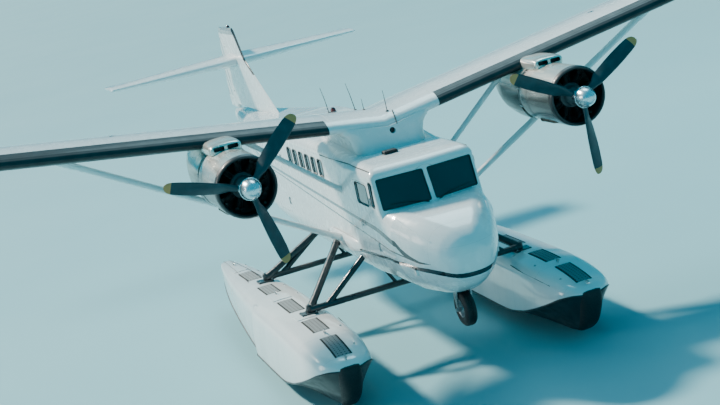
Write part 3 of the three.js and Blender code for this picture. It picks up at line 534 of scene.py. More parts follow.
def window_set(name, outlines, s, node=None, body="airframe"):
    """Panes just inside the flat side of the skin with a rubber seal round each."""
    panes = [across_x(outline, s * PANE_INSIDE, s * PANE_OUTSIDE) for outline in outlines]
    seals = [tube(spread(s * SEAL_X, *outline.T), 0.008, loop=True) for outline in outlines]
    piece(f"{name}_panes", panes, glass, node=node, body=body)
    piece(f"{name}_seals", seals, rubber, body=body)


def hinge_leaf(s, at, low, high, reach):
    """A barrel on a hinge line at a station, with a flat tab on the skin that reaches fore or aft."""
    barrel = tube([(s * 0.883, at, low), (s * 0.883, at, high)], 0.0078, 16)
    return [barrel, block(s * 0.868, s * 0.8795, *sorted((at, at + reach)), low + 0.001, high - 0.001)]


def cut_doors(shell, name):
    """Takes a door out of each side of a shell as a leaf of its own, with hinges, handle and window."""
    d = DOORS[name]
    for side, s in SIDES:
        body = f"{name}_{side}"
        leaf = placed(f"{name}_leaf_{side}", shell.data.copy())
        panel = rounded(d["front"] + 0.006, d["rear"] - 0.011, d["low"] + 0.006, d["high"] - 0.006,
                        d["round"])
        cut(leaf, across_x(panel, s * 0.7, s * OUTSIDE), operation="INTERSECT")
        u0, u1, v0, v1 = d["window"]
        cut(leaf, across_x(rounded(u0, u1, v0, v1, 0.06), s * 0.7, s * OUTSIDE))
        solid(leaf, livery, lining, node=body, body=body, second=faces_in(2.5))
        glass_node = f"door_glass_{side}" if name == "cockpit_door" else None
        window_set(body, [rounded(u0 - 0.004, u1 + 0.004, v0 - 0.004, v1 + 0.004, 0.062)], s, glass_node,
                   body)
        hinge_at = d["front"] + 0.003
        knuckles, mounts = [], []
        for at in (d["low"] + 0.22, d["high"] - 0.32):
            knuckles += hinge_leaf(s, hinge_at, at + 0.001, at + 0.059, 0.055)
            mounts += hinge_leaf(s, hinge_at, at - 0.04, at - 0.001, -0.055)
            mounts += hinge_leaf(s, hinge_at, at + 0.061, at + 0.1, -0.055)
        u, v = d["handle"]
        grip = [tube([(s * 0.876, u + 0.05, v), (s * 0.893, u + 0.045, v), (s * 0.893, u - 0.055, v),
                      (s * 0.885, u - 0.065, v)], 0.006, 10),
                across_x(rounded(u + 0.02, u + 0.078, v - 0.028, v + 0.028, 0.027), s * 0.87, s * 0.8775)]
        piece(f"{name}_handle_{side}", grip, steel, body=body)
        piece(f"{name}_knuckles_{side}", knuckles, steel, body=body)
        piece(f"{name}_hinges_{side}", mounts, steel)
    hole = rounded(d["front"], d["rear"], d["low"], d["high"], d["round"] + 0.006)
    return cut(shell, across_x(hole))


cut_doors(cockpit, "cockpit_door")
solid(cockpit, livery, lining, second=faces_in(2.5), node="cockpit_shell")


def on_screen(outline, depth):
    """Points of an outline of x and height, depth behind the outer faces of the two flat panes.

    The station grows with the height and, in a straight line, from the middle to the corner.
    """
    up = (outline[:, 1] - 2.84) / 0.51
    middle, corner = 1.61 + 0.2 * up, 1.765 + 0.11 * up
    y = middle + (corner - middle) * np.abs(outline[:, 0]) / 0.805 + depth
    return spread(outline[:, 0], y, outline[:, 1])


wide_outline = rounded(0.034, 0.806, 2.857, 3.343, 0.028)
panes = [loft(np.stack([on_screen(wide_outline * [s, 1], depth) for depth in (0.014, 0.021)]))
         for _, s in SIDES]
strips = []
for _, s in SIDES:
    upper_strip = [(s * 0.745, 1.746, 2.819), (s * 0.699, 1.38, 2.719), (s * 0.608, 1.031, 2.591),
                   (s * 0.501, 0.751, 2.451)]
    lower_strip = [(s * 0.828, 1.747, 2.744), (s * 0.802, 1.407, 2.582), (s * 0.629, 0.911, 2.332)]
    strips += [tube(through(upper_strip, 8), 0.009), tube(through(lower_strip, 8), 0.009),
               across_x(rounded(1.13, 1.22, 1.885, 2.035, 0.042), s * 0.6, s * 0.693)]
piece("nose_strips", strips, livery)
# A small near-black block on the roof behind the brow: painted shade, a dark patch where a shadow crosses the
# roof's highlight.
dark_shade_box = along_y(rounded(-0.305, -0.075, 3.5, 3.572, 0.018), 2.7, 2.85)
piece("roof_ventilator", dark_shade_box, rubber)
piece("windscreen_panes", panes, glass, node="windscreen")
seals = [tube(on_screen(pane_outline * [s, 1], 0.002), 0.009, loop=True) for _, s in SIDES]
wipers = []
for _, s in SIDES:
    arm = on_screen(np.array([[s * 0.1, 2.85], [s * 0.3, 2.905], [s * 0.46, 2.925]]), -0.022)
    blade_line = on_screen(np.array([[s * 0.26, 2.893], [s * 0.46, 2.922], [s * 0.68, 2.938]]), -0.009)
    wipers += [tube(arm, [0.008, 0.006, 0.004]), tube(blade_line, 0.005),
               tube(on_screen(np.array([[s * 0.1, 2.842], [s * 0.1, 2.858]]), -0.012), 0.016, 12)]
piece("windscreen_seals", seals + wipers, rubber)
quarter = rounded(1.926, 2.064, 2.896, 3.304, 0.047)
for side, s in SIDES:
    window_set(f"quarter_light_{side}", [quarter], s)


# Cabin
# A long box of the same skin from the cockpit to the rear doors, with six sealed windows and a hinged
# door in each side. Low on each side a faired box takes the wing strut and the float struts, and a
# rubber drip rail is glued along the edge of the roof.
REAR = through([[3.1003, 0.875, 1.455, 3.52, 0.62, 0.585, 0.2], [4.56, 0.875, 1.455, 3.62, 0.6, 0.56, 0.17],
                [7.4, 0.875, 1.455, 3.62, 0.6, 0.56, 0.17], [8.5, 0.872, 1.53, 3.6, 0.56, 0.5, 0.19],
                [9.0, 0.85, 1.6, 3.56, 0.54, 0.47, 0.22], [10.5, 0.7, 1.95, 3.47, 0.45, 0.42, 0.28],
                [12.3, 0.44, 2.45, 3.37, 0.3, 0.28, 0.23], [14.0, 0.17, 2.93, 3.29, 0.13, 0.13, 0.11],
                [14.45, 0.06, 3.08, 3.25, 0.05, 0.05, 0.05]], 12)
cabin_rows = REAR[:4 * 12 + 1]
cabin = mesh_object("cabin_skin", loft(fuselage_rings(cabin_rows, steps=14)))


def signed_power(value, power):
    """The power of the value's size, with the value's sign."""
    return np.sign(value) * np.abs(value) ** power


def fitting_box(s):
    """A faired box on the side: sections of a power of a circle, swelling out and back in along the body."""
    rows = through([[3.2, 0.868, 1.95, 2.1], [3.7, 0.945, 1.88, 2.16], [4.5, 0.945, 1.88, 2.16],
                    [5.2, 0.868, 1.95, 2.1]], 10)
    angle = np.linspace(-np.pi / 2, np.pi / 2, 25)
    at, reach, low, high = (rows[:, i, None] for i in range(4))
    x = 0.8 + (reach - 0.8) * np.cos(angle).clip(0) ** 0.45
    height = (low + high) / 2 + (high - low) / 2 * signed_power(np.sin(angle), 0.6)
    return loft(spread(s * x, at, height))


cut(cabin, *(fitting_box(s) for _, s in SIDES), operation="UNION")
hollow_rows = cabin_rows.copy()
hollow_rows[0, 0], hollow_rows[-1, 0] = 3.05, 9.05
cut(cabin, loft(fuselage_rings(hollow_rows, WALL)))
cabin_windows = [rounded(at, at + 0.27, 3.06, 3.36, 0.065) for at in 4.56 + 0.4 * np.arange(6)]
for outline in cabin_windows:
    cut(cabin, across_x(outline))
cut_doors(cabin, "cabin_door")
solid(cabin, livery, lining, second=faces_in(2.5), node="cabin_shell")
for side, s in SIDES:
    grown = [rounded(o[:, 0].min() - 0.004, o[:, 0].max() + 0.004, 3.056, 3.364, 0.067)
             for o in cabin_windows]
    window_set(f"cabin_{side}", grown, s, f"cabin_windows_{side}")
    rail_line = through([[s * 0.832, 2.02, 3.462], [s * 0.834, 2.7, 3.464], [s * 0.822, 3.08, 3.464],
                         [s * 0.846, 3.55, 3.464], [s * 0.868, 4.1, 3.464], [s * 0.876, 4.56, 3.464]], 6)
    piece(f"drip_rail_{side}", tube(rail_line, 0.009, 10), rubber)


# Tail cone
# The same skin carried aft and upwards to a point under the rudder, on round frames.
tail_rows = REAR[4 * 12:].copy()
tail_rows[0, 0] += GAP
tail_cone = mesh_object("tail_cone_skin", loft(fuselage_rings(tail_rows, steps=14)))
solid(tail_cone, livery, node="tail_cone")


# Cabin floor, instrument panel and seats
# A sandwich floor, a panel under a hooded glare shield with two yokes before it, and seats of foam in
# leather on tube frames: two in front and four rows of two behind.
seat_skin = Finish("seat_leather", (0.03, 0.04, 0.05), 0.55, slot="seat_cover")
seat_skin.mottle((14, 4.0), (0.35, 0.7), (0.026, 0.036, 0.045), (0.045, 0.056, 0.066))
seat_skin.bump(seat_skin.noise(260, 2.0), 0.0012, 0.35)


def cushion(centre, size, crown, lean=0.0):
    """A cushion: level outlines of a fourth power, drawn in towards both faces, and pushed up in the middle.

    x = a |cos|^0.5, y = b |sin|^0.5, both times (1 - t^4)^(1/4) at the height t, then leaned back by lean.
    """
    a, b, c = (v / 2 for v in size)
    t = np.sin(np.linspace(-np.pi / 2, np.pi / 2, 17))[:, None]
    angle = np.arange(40) * 2 * np.pi / 40
    fill = (1 - np.abs(t) ** 4).clip(1e-4) ** 0.25 * 0.94 + 0.06 * (1 - t ** 2)
    x = fill * a * signed_power(np.cos(angle), 0.5)
    y = fill * b * signed_power(np.sin(angle), 0.5)
    swell = crown * (1 - (x / a) ** 2) * (1 - (y / b) ** 2)
    z = t * c + np.sign(t) * swell
    turn = math.radians(lean)
    points = spread(x, y * math.cos(turn) - z * math.sin(turn), y * math.sin(turn) + z * math.cos(turn))
    return loft(points + np.array(centre))


def seat(x, at):
    """The cushions and the frame of one seat, whose front edge is at a station."""
    cushions = [cushion((x, at + 0.225, 2.235), (0.43, 0.45, 0.11), 0.012),
                cushion((x, at + 0.515, 2.56), (0.42, 0.6, 0.085), 0.01, 78),
                cushion((x, at + 0.575, 2.875), (0.26, 0.14, 0.07), 0.006, 78)]
    rails = []
    for s in (-1, 1):
        side = x + s * 0.185
        rails += [tube([(side, at + 0.04, 1.915), (side, at + 0.06, 2.165), (side, at + 0.4, 2.175),
                        (side, at + 0.5, 1.915)], 0.011),
                  tube([(side, at + 0.4, 2.175), (side, at + 0.47, 2.3), (side, at + 0.58, 2.8)], 0.01),
                  block(side - 0.018, side + 0.018, at + 0.02, at + 0.53, 1.902, 1.916),
                  tube([(x + s * 0.06, at + 0.565, 2.78), (x + s * 0.06, at + 0.578, 2.85)], 0.006)]
    rails += [tube([(x - 0.185, at + 0.06, 2.165), (x + 0.185, at + 0.06, 2.165)], 0.011),
              tube([(x - 0.185, at + 0.4, 2.175), (x + 0.185, at + 0.4, 2.175)], 0.011)]
    return cushions, rails


mat = Finish("cabin_mat", (0.06, 0.07, 0.075), 0.9)
mat.mottle((90, 3.0), (0.35, 0.65), (0.045, 0.054, 0.06), (0.085, 0.096, 0.102))
mat.bump(mat.noise(320, 2.0), 0.0012, 0.5)
for carpet_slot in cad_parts["cabin_floor"].material_slots:
    carpet_slot.material = mat.material

rows_of_seats = {"pilot_seats": [(-0.4, 2.33), (0.4, 2.33)],
                 "cabin_seats": [(x, 3.6 + 0.9 * i) for i in range(4) for x in (-0.48, 0.48)]}
for name, places in rows_of_seats.items():
    made = [seat(*place) for place in places]
    soft = piece(f"{name}_cushions", [c for cushions, _ in made for c in cushions], seat_skin, node=name,
                 sharp=60)
    piece(f"{name}_frames", [r for _, rails in made for r in rails], steel)

panel_black = Finish("panel_black", (0.018, 0.02, 0.022), 0.6, slot="cabin_trim")
panel_black.bump(panel_black.noise(300, 2.0), 0.0006, 0.4)
dial = Finish("dials", (0.004, 0.005, 0.006), 0.12, slot="cabin_trim", Coat_Weight=0.8)
dial.uneven((20, 2.0), (0.3, 0.7, 0.08, 0.2))
arch = rounded(-0.76, 0.76, 2.44, 2.79, 0.09)
hood_rows = np.array([[1.745, 0.74, 2.795], [1.8, 0.755, 2.812], [1.9, 0.765, 2.818], [1.955, 0.765, 2.806]])
hood_x = np.linspace(-1, 1, 31)
hood_at, hood_half, hood_top = (hood_rows[:, i, None] for i in range(3))
hood = np.concatenate([spread(hood_half * hood_x, hood_at, hood_top - 0.05 * hood_x ** 4 + thick)[:, ::step]
                       for thick, step in ((0.0, 1), (-0.018, -1))], axis=1)
console = [along_y(arch, 1.82, 1.88), loft(hood), along_y(rounded(-0.16, 0.16, 1.902, 2.6, 0.03), 1.82, 1.98),
           tube([(0, 1.9, 1.95), (0, 2.02, 2.3), (0, 2.06, 2.62)], 0.022, 12)]
yokes = []
for s in (-1, 1):
    yokes += [tube([(0, 2.06, 2.6), (s * 0.22, 2.09, 2.64), (s * 0.4, 2.1, 2.66)], 0.014, 10)]
    angle = np.radians(np.linspace(-50, 230, 24))
    wheel = spread(s * 0.4 + 0.13 * np.cos(angle), 2.115, 2.66 - 0.1 * np.sin(angle))
    yokes += [tube(wheel, 0.012, 10), tube([(s * 0.4, 2.1, 2.66), (s * 0.4, 2.118, 2.66)], 0.03, 14)]
piece("panel_and_yokes", console + yokes, panel_black, node="instrument_panel")
dials = [tube([(s * x, 1.879, z), (s * x, 1.886, z)], 0.038, 20) for _, s in SIDES
         for x in (0.22, 0.32, 0.42, 0.52) for z in (2.56, 2.66)]
piece("panel_dials", dials, dial)


# Wing
# Two straight panels of one airfoil section on a centre section that a fairing carries on the cabin roof.
# Aluminium skins in the same white, with black rubber boots glued over the leading edge. Aerials, a
# beacon, tip lights and filler caps are screwed on.
WING_FRONT, CHORD, THICK, CAMBER, HINGE = 3.24, 1.98, 0.155, 0.03, 0.76
WING_ROOT, AILERON_END, WING_TIP, WING_HEIGHT = 0.885, 9.56, 9.905, 4.02
DIHEDRAL = math.radians(8.7)


def airfoil(t, thick=THICK, camber=CAMBER):
    """Camber line and half thickness at a fraction t of the chord.

    The half thickness is the four-digit polynomial in t with its square root at the nose. The line is two
    parabolas that meet at their top at 0.4.
    """
    half = 5 * thick * (0.2969 * np.sqrt(t) + np.polyval([-0.1036, 0.2843, -0.3516, -0.126, 0], t))
    line = np.where(t < 0.4, camber * (0.8 * t - t * t) / 0.16, camber * (0.2 + 0.8 * t - t * t) / 0.36)
    return line, half


def front_profile(chord, thick, camber, hinge, lips):
    """Stations behind the leading edge and heights of the fixed part of a wing.

    It runs from the upper lip round the nose to the lower lip, then round the cove about the hinge.
    """
    line, half = airfoil(np.array(hinge), thick, camber)
    radius = float(half) * chord - 0.005
    sides = []
    for lip, sign in ((lips[0], 1), (lips[1], -1)):
        end = hinge - radius * math.sin(math.radians(lip)) / chord
        t = end * (1 - np.cos(np.linspace(0, np.pi / 2, 30)))
        middle_line, thickness = airfoil(t, thick, camber)
        sides.append(np.column_stack([t, middle_line + sign * thickness]) * chord)
    turn = np.radians(np.linspace(270 - lips[1], 90 + lips[0], 16))
    cove = np.column_stack([hinge * chord + radius * np.cos(turn),
                            float(line) * chord + radius * np.sin(turn)])
    return np.vstack([sides[0][::-1], sides[1][1:], cove])


def whole_profile(points=72):
    """The wing's section all the way round: fractions of the chord, the line and the signed thickness."""
    turn = np.arange(points) * 2 * np.pi / points
    t = (1 - np.cos(turn)) / 2
    line, half = airfoil(t)
    return t, line, np.where(np.sin(turn) >= 0, 1, -1) * (half + 0.0015)


def wing_height(x):
    """The height of the leading edge at x, which the dihedral lifts outwards."""
    return WING_HEIGHT + (np.abs(x) - 0.9) * math.tan(DIHEDRAL)


def on_wing(profile, xs):
    """The same profile at each x of the wing, lifted by the dihedral."""
    x = np.array(xs)[:, None]
    return loft(spread(x, WING_FRONT + profile[:, 0], wing_height(x) + profile[:, 1]))


wing_paint, x, station, z = painted_skin("white_wing")
away = abs(x)
boot = station.below(WING_FRONT + 0.235) * away.between(0.97, 9.62)
ribs = seams(away, 0.62) * station.above(WING_FRONT + 0.245)
spars = station.between(3.7, 3.7022).most(station.between(4.42, 4.4222))
shade = wing_paint.mix(ribs.most(spars) * 0.35, wing_paint.shade, SEAM)
soft_black = wing_paint.mix(wing_paint.noise(5, 4.0).ramp(0.4, 0.7), (0.01, 0.013, 0.015),
                            (0.022, 0.026, 0.028))
wing_paint.feed("Base Color", wing_paint.mix(boot, shade, soft_black))
smooth = wing_paint.noise(6.0, 4.0).ramp(0.3, 0.75, 0.2, 0.34)
wing_paint.feed("Roughness", smooth + boot * 0.18)
wing_paint.feed("Coat Weight", 0.8 - boot * 0.7)
tubes = from_seam(station, 0.05).ramp(0.0, 0.025, 1.0, 0.0, True) * boot
heads = rivets(from_seam(away, 0.62) - 0.016, station, 0.035)
heads = heads.most(rivets(abs(station - 3.7) - 0.016, away, 0.035))
wing_paint.bump(heads * 0.5 - ribs.most(spars) + tubes * 2.0, 0.0015, 0.5)

t, line, half = whole_profile()
full = np.column_stack([t, line + half]) * CHORD
front_part = front_profile(CHORD, THICK, CAMBER, HINGE, (22, 45))
hinge_line, hinge_half = (float(v) for v in airfoil(np.array(HINGE)))
nose_radius = hinge_half * CHORD - 0.014
hinge_at = WING_FRONT + HINGE * CHORD


def wing_tip(s):
    """The end of the wing: rings whose chord and thickness shrink on a quarter of an ellipse."""
    u = np.linspace(0, np.radians(86), 14)
    xs = np.concatenate([[AILERON_END + 0.02], WING_TIP - 0.18 + 0.18 * np.sin(u) / math.sin(u[-1])])
    scale = np.concatenate([[1], 1 - 0.2 * (1 - np.cos(u))])
    thin = np.concatenate([[1], np.cos(u) ** 0.8])
    xs, scale, thin = xs[:, None], scale[:, None], thin[:, None]
    y = WING_FRONT + (0.4 + (t - 0.4) * scale) * CHORD
    return loft(spread(s * xs, y, wing_height(xs) + (line * scale + half * thin) * CHORD))


for side, s in SIDES:
    wing = mesh_object(f"wing_skin_{side}", on_wing(front_part, (s * WING_ROOT, s * (AILERON_END + 0.03))))
    cut(wing, wing_tip(s), operation="UNION")
    solid(wing, wing_paint, sharp=28, node=f"wing_{side}")
    arms = []
    along_hinge = np.array([s * math.cos(DIHEDRAL), 0, math.sin(DIHEDRAL)]) * 0.015
    for at in (1.5, 3.7, 5.9, 6.8, 9.0):
        middle_height = wing_height(at) + hinge_line * CHORD
        pin = np.array([s * at, hinge_at, middle_height])
        arms += [tube([pin - along_hinge, pin + along_hinge], 0.032, 24),
                 block(s * at - 0.009, s * at + 0.009, hinge_at - nose_radius - 0.06, hinge_at,
                       middle_height - 0.022, middle_height + 0.022)]
    piece(f"hinge_arms_{side}", arms, wing_paint)


def fairing_outline(wide, front, rear):
    """Half of a level outline: a round front corner, a straight side and a cubic run in to the middle."""
    turn = np.radians(np.linspace(-90, 0, 12))
    corner = np.column_stack([wide - 0.22 + 0.22 * np.cos(turn), front + 0.22 + 0.22 * np.sin(turn)])
    u = np.linspace(0, 1, 18)[:, None]
    ends = np.array([[wide, rear - 0.9], [wide, rear - 0.5], [0.8 * wide, rear - 0.02], [0.0, rear]])
    run = (1 - u) * curve(u, ends[0], ends[1], ends[2]) + u * curve(u, ends[1], ends[2], ends[3])
    return np.vstack([corner, run[:-1]]), ends[3:]


levels = through([[3.45, 0.6, 3.06, 6.0], [3.64, 0.615, 3.1, 5.9], [3.8, 0.67, 3.14, 5.65],
                  [3.92, 0.79, 3.19, 5.4], [4.01, 0.878, 3.24, 5.23], [4.13, 0.882, 3.26, 5.22]], 6)
rings = []
for height, wide, front_edge, rear_edge in levels:
    part, tail_end = fairing_outline(wide, front_edge, rear_edge)
    outline = np.vstack([part, tail_end, part[::-1] * [-1, 1]])
    rings.append(spread(*outline.T, height))
fairing = mesh_object("fairing_body", loft(np.stack(rings)))
t_top = (1 - np.cos(np.linspace(0, np.pi, 40))) / 2
line_top, half_top = airfoil(t_top)
roof_line = np.column_stack([WING_FRONT + t_top * CHORD, (line_top + half_top - 0.004) * CHORD])
slope = np.array([[5.45, -0.07], [5.8, -0.19], [6.3, -0.36]])
under = np.vstack([[[2.9, 0.0]], roof_line, slope, [[6.3, -0.9], [2.9, -0.9]]])
cut(fairing, on_wing(under - [WING_FRONT, 0], (-0.95, 0.0, 0.95)), operation="INTERSECT")
cut(fairing, on_wing(full, (0.8847, 0.0, -0.8847)), operation="UNION")


def revolve(origin, axis, profile, steps=48):
    """A body turned about an axis: the profile has (radius, distance along the axis) pairs."""
    axis = unit(axis)
    side = unit(np.cross(axis, np.eye(3)[np.argmin(np.abs(axis))]))
    other = np.cross(axis, side)
    turn = np.arange(steps) * 2 * np.pi / steps
    ring = np.cos(turn)[:, None] * side + np.sin(turn)[:, None] * other
    profile = np.array(profile, float)
    profile[:, 0] = profile[:, 0].clip(0.0004)
    rings = profile[:, 0, None, None] * ring + profile[:, 1, None, None] * axis + np.array(origin)
    return loft(rings)


def revolve_loop(origin, axis, profile, steps=96):
    """The same with a closed profile, for a ring with a hole through it."""
    profile = np.array(profile, float)
    points, faces = revolve(origin, axis, np.vstack([profile, profile[:1]]), steps)
    n = len(profile) * steps
    return points[:n], [[i % n for i in face] for face in faces[:-2]]


hole_x, hole_height, hole_radius = 0.05, 3.8, 0.05
cut(fairing, tube([(hole_x, 2.9, hole_height), (hole_x, 3.21, hole_height)], hole_radius, 32))
solid(fairing, wing_paint, sharp=38, node="wing_centre")
# The hole's back plate is near-black: painted shade at the bottom of the hole.
back_plate = tube([(hole_x, 3.19, hole_height), (hole_x, 3.23, hole_height)], hole_radius + 0.002, 32)
piece("fairing_hole", back_plate, recess_shade)


def wing_surface(x, at, sign=1):
    """The height of the wing's upper skin, or of its lower skin where sign is -1."""
    line, half = airfoil(np.array((at - WING_FRONT) / CHORD))
    return wing_height(x) + float(line + sign * half) * CHORD


def aerial(x, at, tall, lean, radius=0.0075):
    """A whip that thins out and leans back, on a small round foot."""
    foot = np.array([x, at, wing_surface(x, at) - 0.01])
    return [tube([foot, foot + [0, 0, 0.018], foot + [0, 0.004, 0.026]], [0.03, 0.028, 0.012], 20),
            tube([foot, foot + [0, lean * 0.4, tall * 0.5], foot + [0, lean, tall]],
                 radius * np.array([1, 0.8, 0.45]), 10)]


whips = []
for whip in ((-0.62, 4.3, 0.43, 0.24), (-0.16, 4.3, 0.46, 0.26), (-0.1, 4, 0.2, 0.02, 0.006),
             (0.14, 3.5, 0.36, 0.03)):
    whips += aerial(*whip)
whips.append(tube([(0.205, 3.43, 4.075), (0.18, 3.3, 4.0), (0.155, 3.165, 3.885)], 0.009, 10))
piece("aerials", whips, rubber)
lens_finish = {}
for name, colour in (("red", (0.13, 0.01, 0.009)), ("green", (0.01, 0.22, 0.07))):
    lens_finish[name] = Finish(f"{name}_lens", colour, 0.12, slot="tinted_glass", Coat_Weight=1.0)
    lens_finish[name].uneven((40, 2.0), (0.3, 0.7, 0.08, 0.18))


def lens(name, colour, foot, axis, radius, tall):
    """A lens whose outline is a quarter of an ellipse, on a metal ring."""
    turn = np.radians(np.linspace(0, 88, 12))
    dome = np.column_stack([radius * np.cos(turn), 0.25 * tall + 0.75 * tall * np.sin(turn)])
    dome = np.vstack([[0, 0], [radius, 0], dome, [0, tall]])
    piece(f"{name}_lens", revolve(foot, axis, dome, 28), lens_finish[colour])
    ring = [[0, -0.01], [radius + 0.007, -0.01], [radius + 0.007, 0.2 * tall], [0, 0.2 * tall]]
    piece(f"{name}_ring", revolve(foot, axis, ring, 28), steel)


lens("wing_beacon", "red", (-0.54, 4.3, wing_surface(-0.54, 4.3) - 0.004), UP, 0.05, 0.095)
for side, s in SIDES:
    lens(f"wing_light_{side}", "red" if s > 0 else "green", (s * 9.64, WING_FRONT + 0.03, wing_height(9.64)),
         (0, -1, 0), 0.026, 0.055)
    cap = [[0, 0], [0.058, 0], [0.058, 0.007], [0.05, 0.01], [0.02, 0.01], [0.018, 0.016], [0, 0.016]]
    upright = (-s * math.sin(DIHEDRAL), 0, math.cos(DIHEDRAL))
    caps = [revolve((s * at, 3.96, wing_surface(at, 3.96) - 0.006), upright, cap, 28) for at in (4.3, 6.1)]
    piece(f"filler_caps_{side}", caps, steel)
    wicks = [tube(np.array([[0, 0, 0.002], [0, 0.03, 0], [0, 0.135, -0.004]])
                  + [s * at, 5.205, wing_height(at)], [0.005, 0.0035, 0.002], 8) for at in (7.4, 8.2, 9.0)]
    piece(f"wicks_{side}", wicks, rubber, body=f"aileron_{side}")


# Engines, cowls and nacelles
# Nine finned cylinders round a crankcase, in a polished aluminium cowl with a black lip, two exhaust pipes
# low in it and latches round its rear edge. The cowl's inside, the intake openings in the hump and a band
# round the cowl's rear edge are black as painted shade. The polished metal is painted dark brown below the
# engine's middle and cream on top, as a painted reflection. The nacelle behind is polished too, with the
# intake's hump on top.
ENGINE_X, ENGINE_HEIGHT, HUB_AT = 2.79, 3.78, 1.68
FLIGHT = (0, 1, 0)
polish = Finish("polished_cowl", (0.8, 0.78, 0.73), 0.12, 1.0, slot="polished_metal")
x, station, z = polish.place()
dx, dz = abs(x) - ENGINE_X, z - ENGINE_HEIGHT
# the way round the cowl in metres, from the angle and the skin's radius
around = polish.node("ShaderNodeMath", {"operation": "ARCTAN2"}, {0: dz, 1: dx}) * 0.489924
joints = (abs(dz).below(0.002) * station.below(3.0)).most(abs(abs(station - 2.77) - 0.028).below(0.006))
for at, gap in ((2.26, 0.002), (3.64, 0.003), (3.9, 0.003)):
    joints = joints.most(abs(station - at).below(gap))
tint = polish.noise(2.5, 4.0, (1, 0.35, 1)).ramp(0.35, 0.7)
metal = polish.mix(tint, (0.86, 0.83, 0.75), (0.72, 0.7, 0.64))
# Painted reflection: the cowl and nacelle turn dark brown below the engine's middle and along the sides, with
# a wavy edge and a lighter painted highlight low down, and stay cream on top.
reflection_wobble = polish.noise(5.0, 5.0, (1, 0.12, 1)).ramp(0.3, 0.7, -0.16, 0.16)
low_painted_highlight = (abs(dz + 0.34) + reflection_wobble * 0.4).ramp(0.03, 0.1, 0.45, 0.0, True)
flank = (dz + reflection_wobble).ramp(0.02, 0.36, 1.0, 0.0, True) - low_painted_highlight
metal = polish.mix(flank * 0.94, metal, (0.05, 0.04, 0.034))
# A black band round the cowl's rear edge, where the cowl flaps open: painted shade of that gap.
flap_gap_shade = station.between(3.035, 3.118, 0.003) * (dz * dz + dx * dx).below(0.252)
dark = joints.most(flap_gap_shade)
polish.feed("Base Color", polish.mix(dark * 0.95, metal, (0.012, 0.013, 0.014)))
polish.feed("Metallic", 0.66 - flap_gap_shade * 0.66)
polish.feed("Roughness", polish.noise(16, 5.0, (1, 0.1, 1)).ramp(0.3, 0.75, 0.15, 0.3) + dark * 0.25)
studs = rivets(abs(station - 2.26) - 0.022, around, 0.0428, 0.005)
studs = studs.most(rivets(station - 3.012, around, 0.0428, 0.005))
polish.bump(studs * 0.7 - joints, 0.0016, 0.5)
iron = Finish("engine_iron", (0.055, 0.058, 0.06), 0.5, 0.7, slot="engine_metal")
iron.mottle((18, 4.0), (0.35, 0.7), (0.022, 0.024, 0.026), (0.065, 0.062, 0.058))
gear_grey = Finish("gear_case_paint", (0.16, 0.18, 0.19), 0.4, slot="engine_metal")
gear_grey.mottle((10, 4.0), (0.35, 0.7), (0.085, 0.1, 0.108), (0.13, 0.145, 0.15))
burnt = Finish("burnt_steel", (0.1, 0.075, 0.06), 0.55, 0.8, slot="engine_metal")
burnt.mottle((12, 4.0), (0.3, 0.7), (0.07, 0.055, 0.048), (0.19, 0.14, 0.1))
# Black for the cowl's lip, which is painted so, and for the cowl's inside and the intake openings' walls,
# where the black is painted shade.
black_lip_and_inner_shade = Finish("cowl_black", (0.014, 0.016, 0.018), 0.45, Coat_Weight=0.3)
black_lip_and_inner_shade.uneven((8, 3.0), (0.3, 0.7, 0.38, 0.55))

NACELLE = through([[3.124, 0.466, 3.314, 4.246], [3.4, 0.474, 3.32, 4.27], [3.8, 0.468, 3.39, 4.28],
                   [4.15, 0.415, 3.53, 4.285], [4.45, 0.29, 3.79, 4.29], [4.62, 0.15, 4.01, 4.29],
                   [4.64, 0.12, 4.05, 4.285]], 8)
HUMP = through([[2.692, 0.225, 4.215, 4.332], [2.705, 0.245, 4.195, 4.362], [2.76, 0.262, 4.18, 4.382],
                [3.0, 0.27, 4.15, 4.395], [3.33, 0.265, 4.15, 4.39]], 8)
OUTLET = ((2.05, 0.44), (2.12, 0.462), (2.25, 0.474), (2.62, 0.474), (2.7, 0.478))
LATCH = ((3.005, 0.484), (3.03, 0.49), (3.125, 0.482), (3.155, 0.476))


def nacelle_rings(rows, cx, steps=56, power=0.8):
    """Rings of a power of a circle: x = w sign(cos) |cos|^p and z = h sign(sin) |sin|^p."""
    angle = np.arange(steps) * 2 * np.pi / steps
    at, wide, low, high = (rows[:, i, None] for i in range(4))
    x = cx + wide * signed_power(np.cos(angle), power)
    return spread(x, at, (low + high) / 2 + (high - low) / 2 * signed_power(np.sin(angle), power))


def ray(angle):
    """The direction at an angle round an engine's axis."""
    return np.array([math.cos(angle), 0, math.sin(angle)])


def lip_and_inside(at, normal):
    """The faces of a cowl's lip, and those that look at the engine's axis, whose black is painted shade."""
    off = at[:, 0] - np.sign(at[:, 0]) * ENGINE_X
    return (at[:, 1] < 1.925) | (off * normal[:, 0] + (at[:, 2] - ENGINE_HEIGHT) * normal[:, 2] < 0)


def in_intake(at, normal):
    """The walls of the two openings in the front of a nacelle's hump, which take black as painted shade."""
    return ((at[:, 1] < 2.81) & (at[:, 1] > 2.7) & (at[:, 2] < 4.34) & (at[:, 2] > 4.262)
            & (np.abs(np.abs(at[:, 0]) - ENGINE_X) < 0.205))


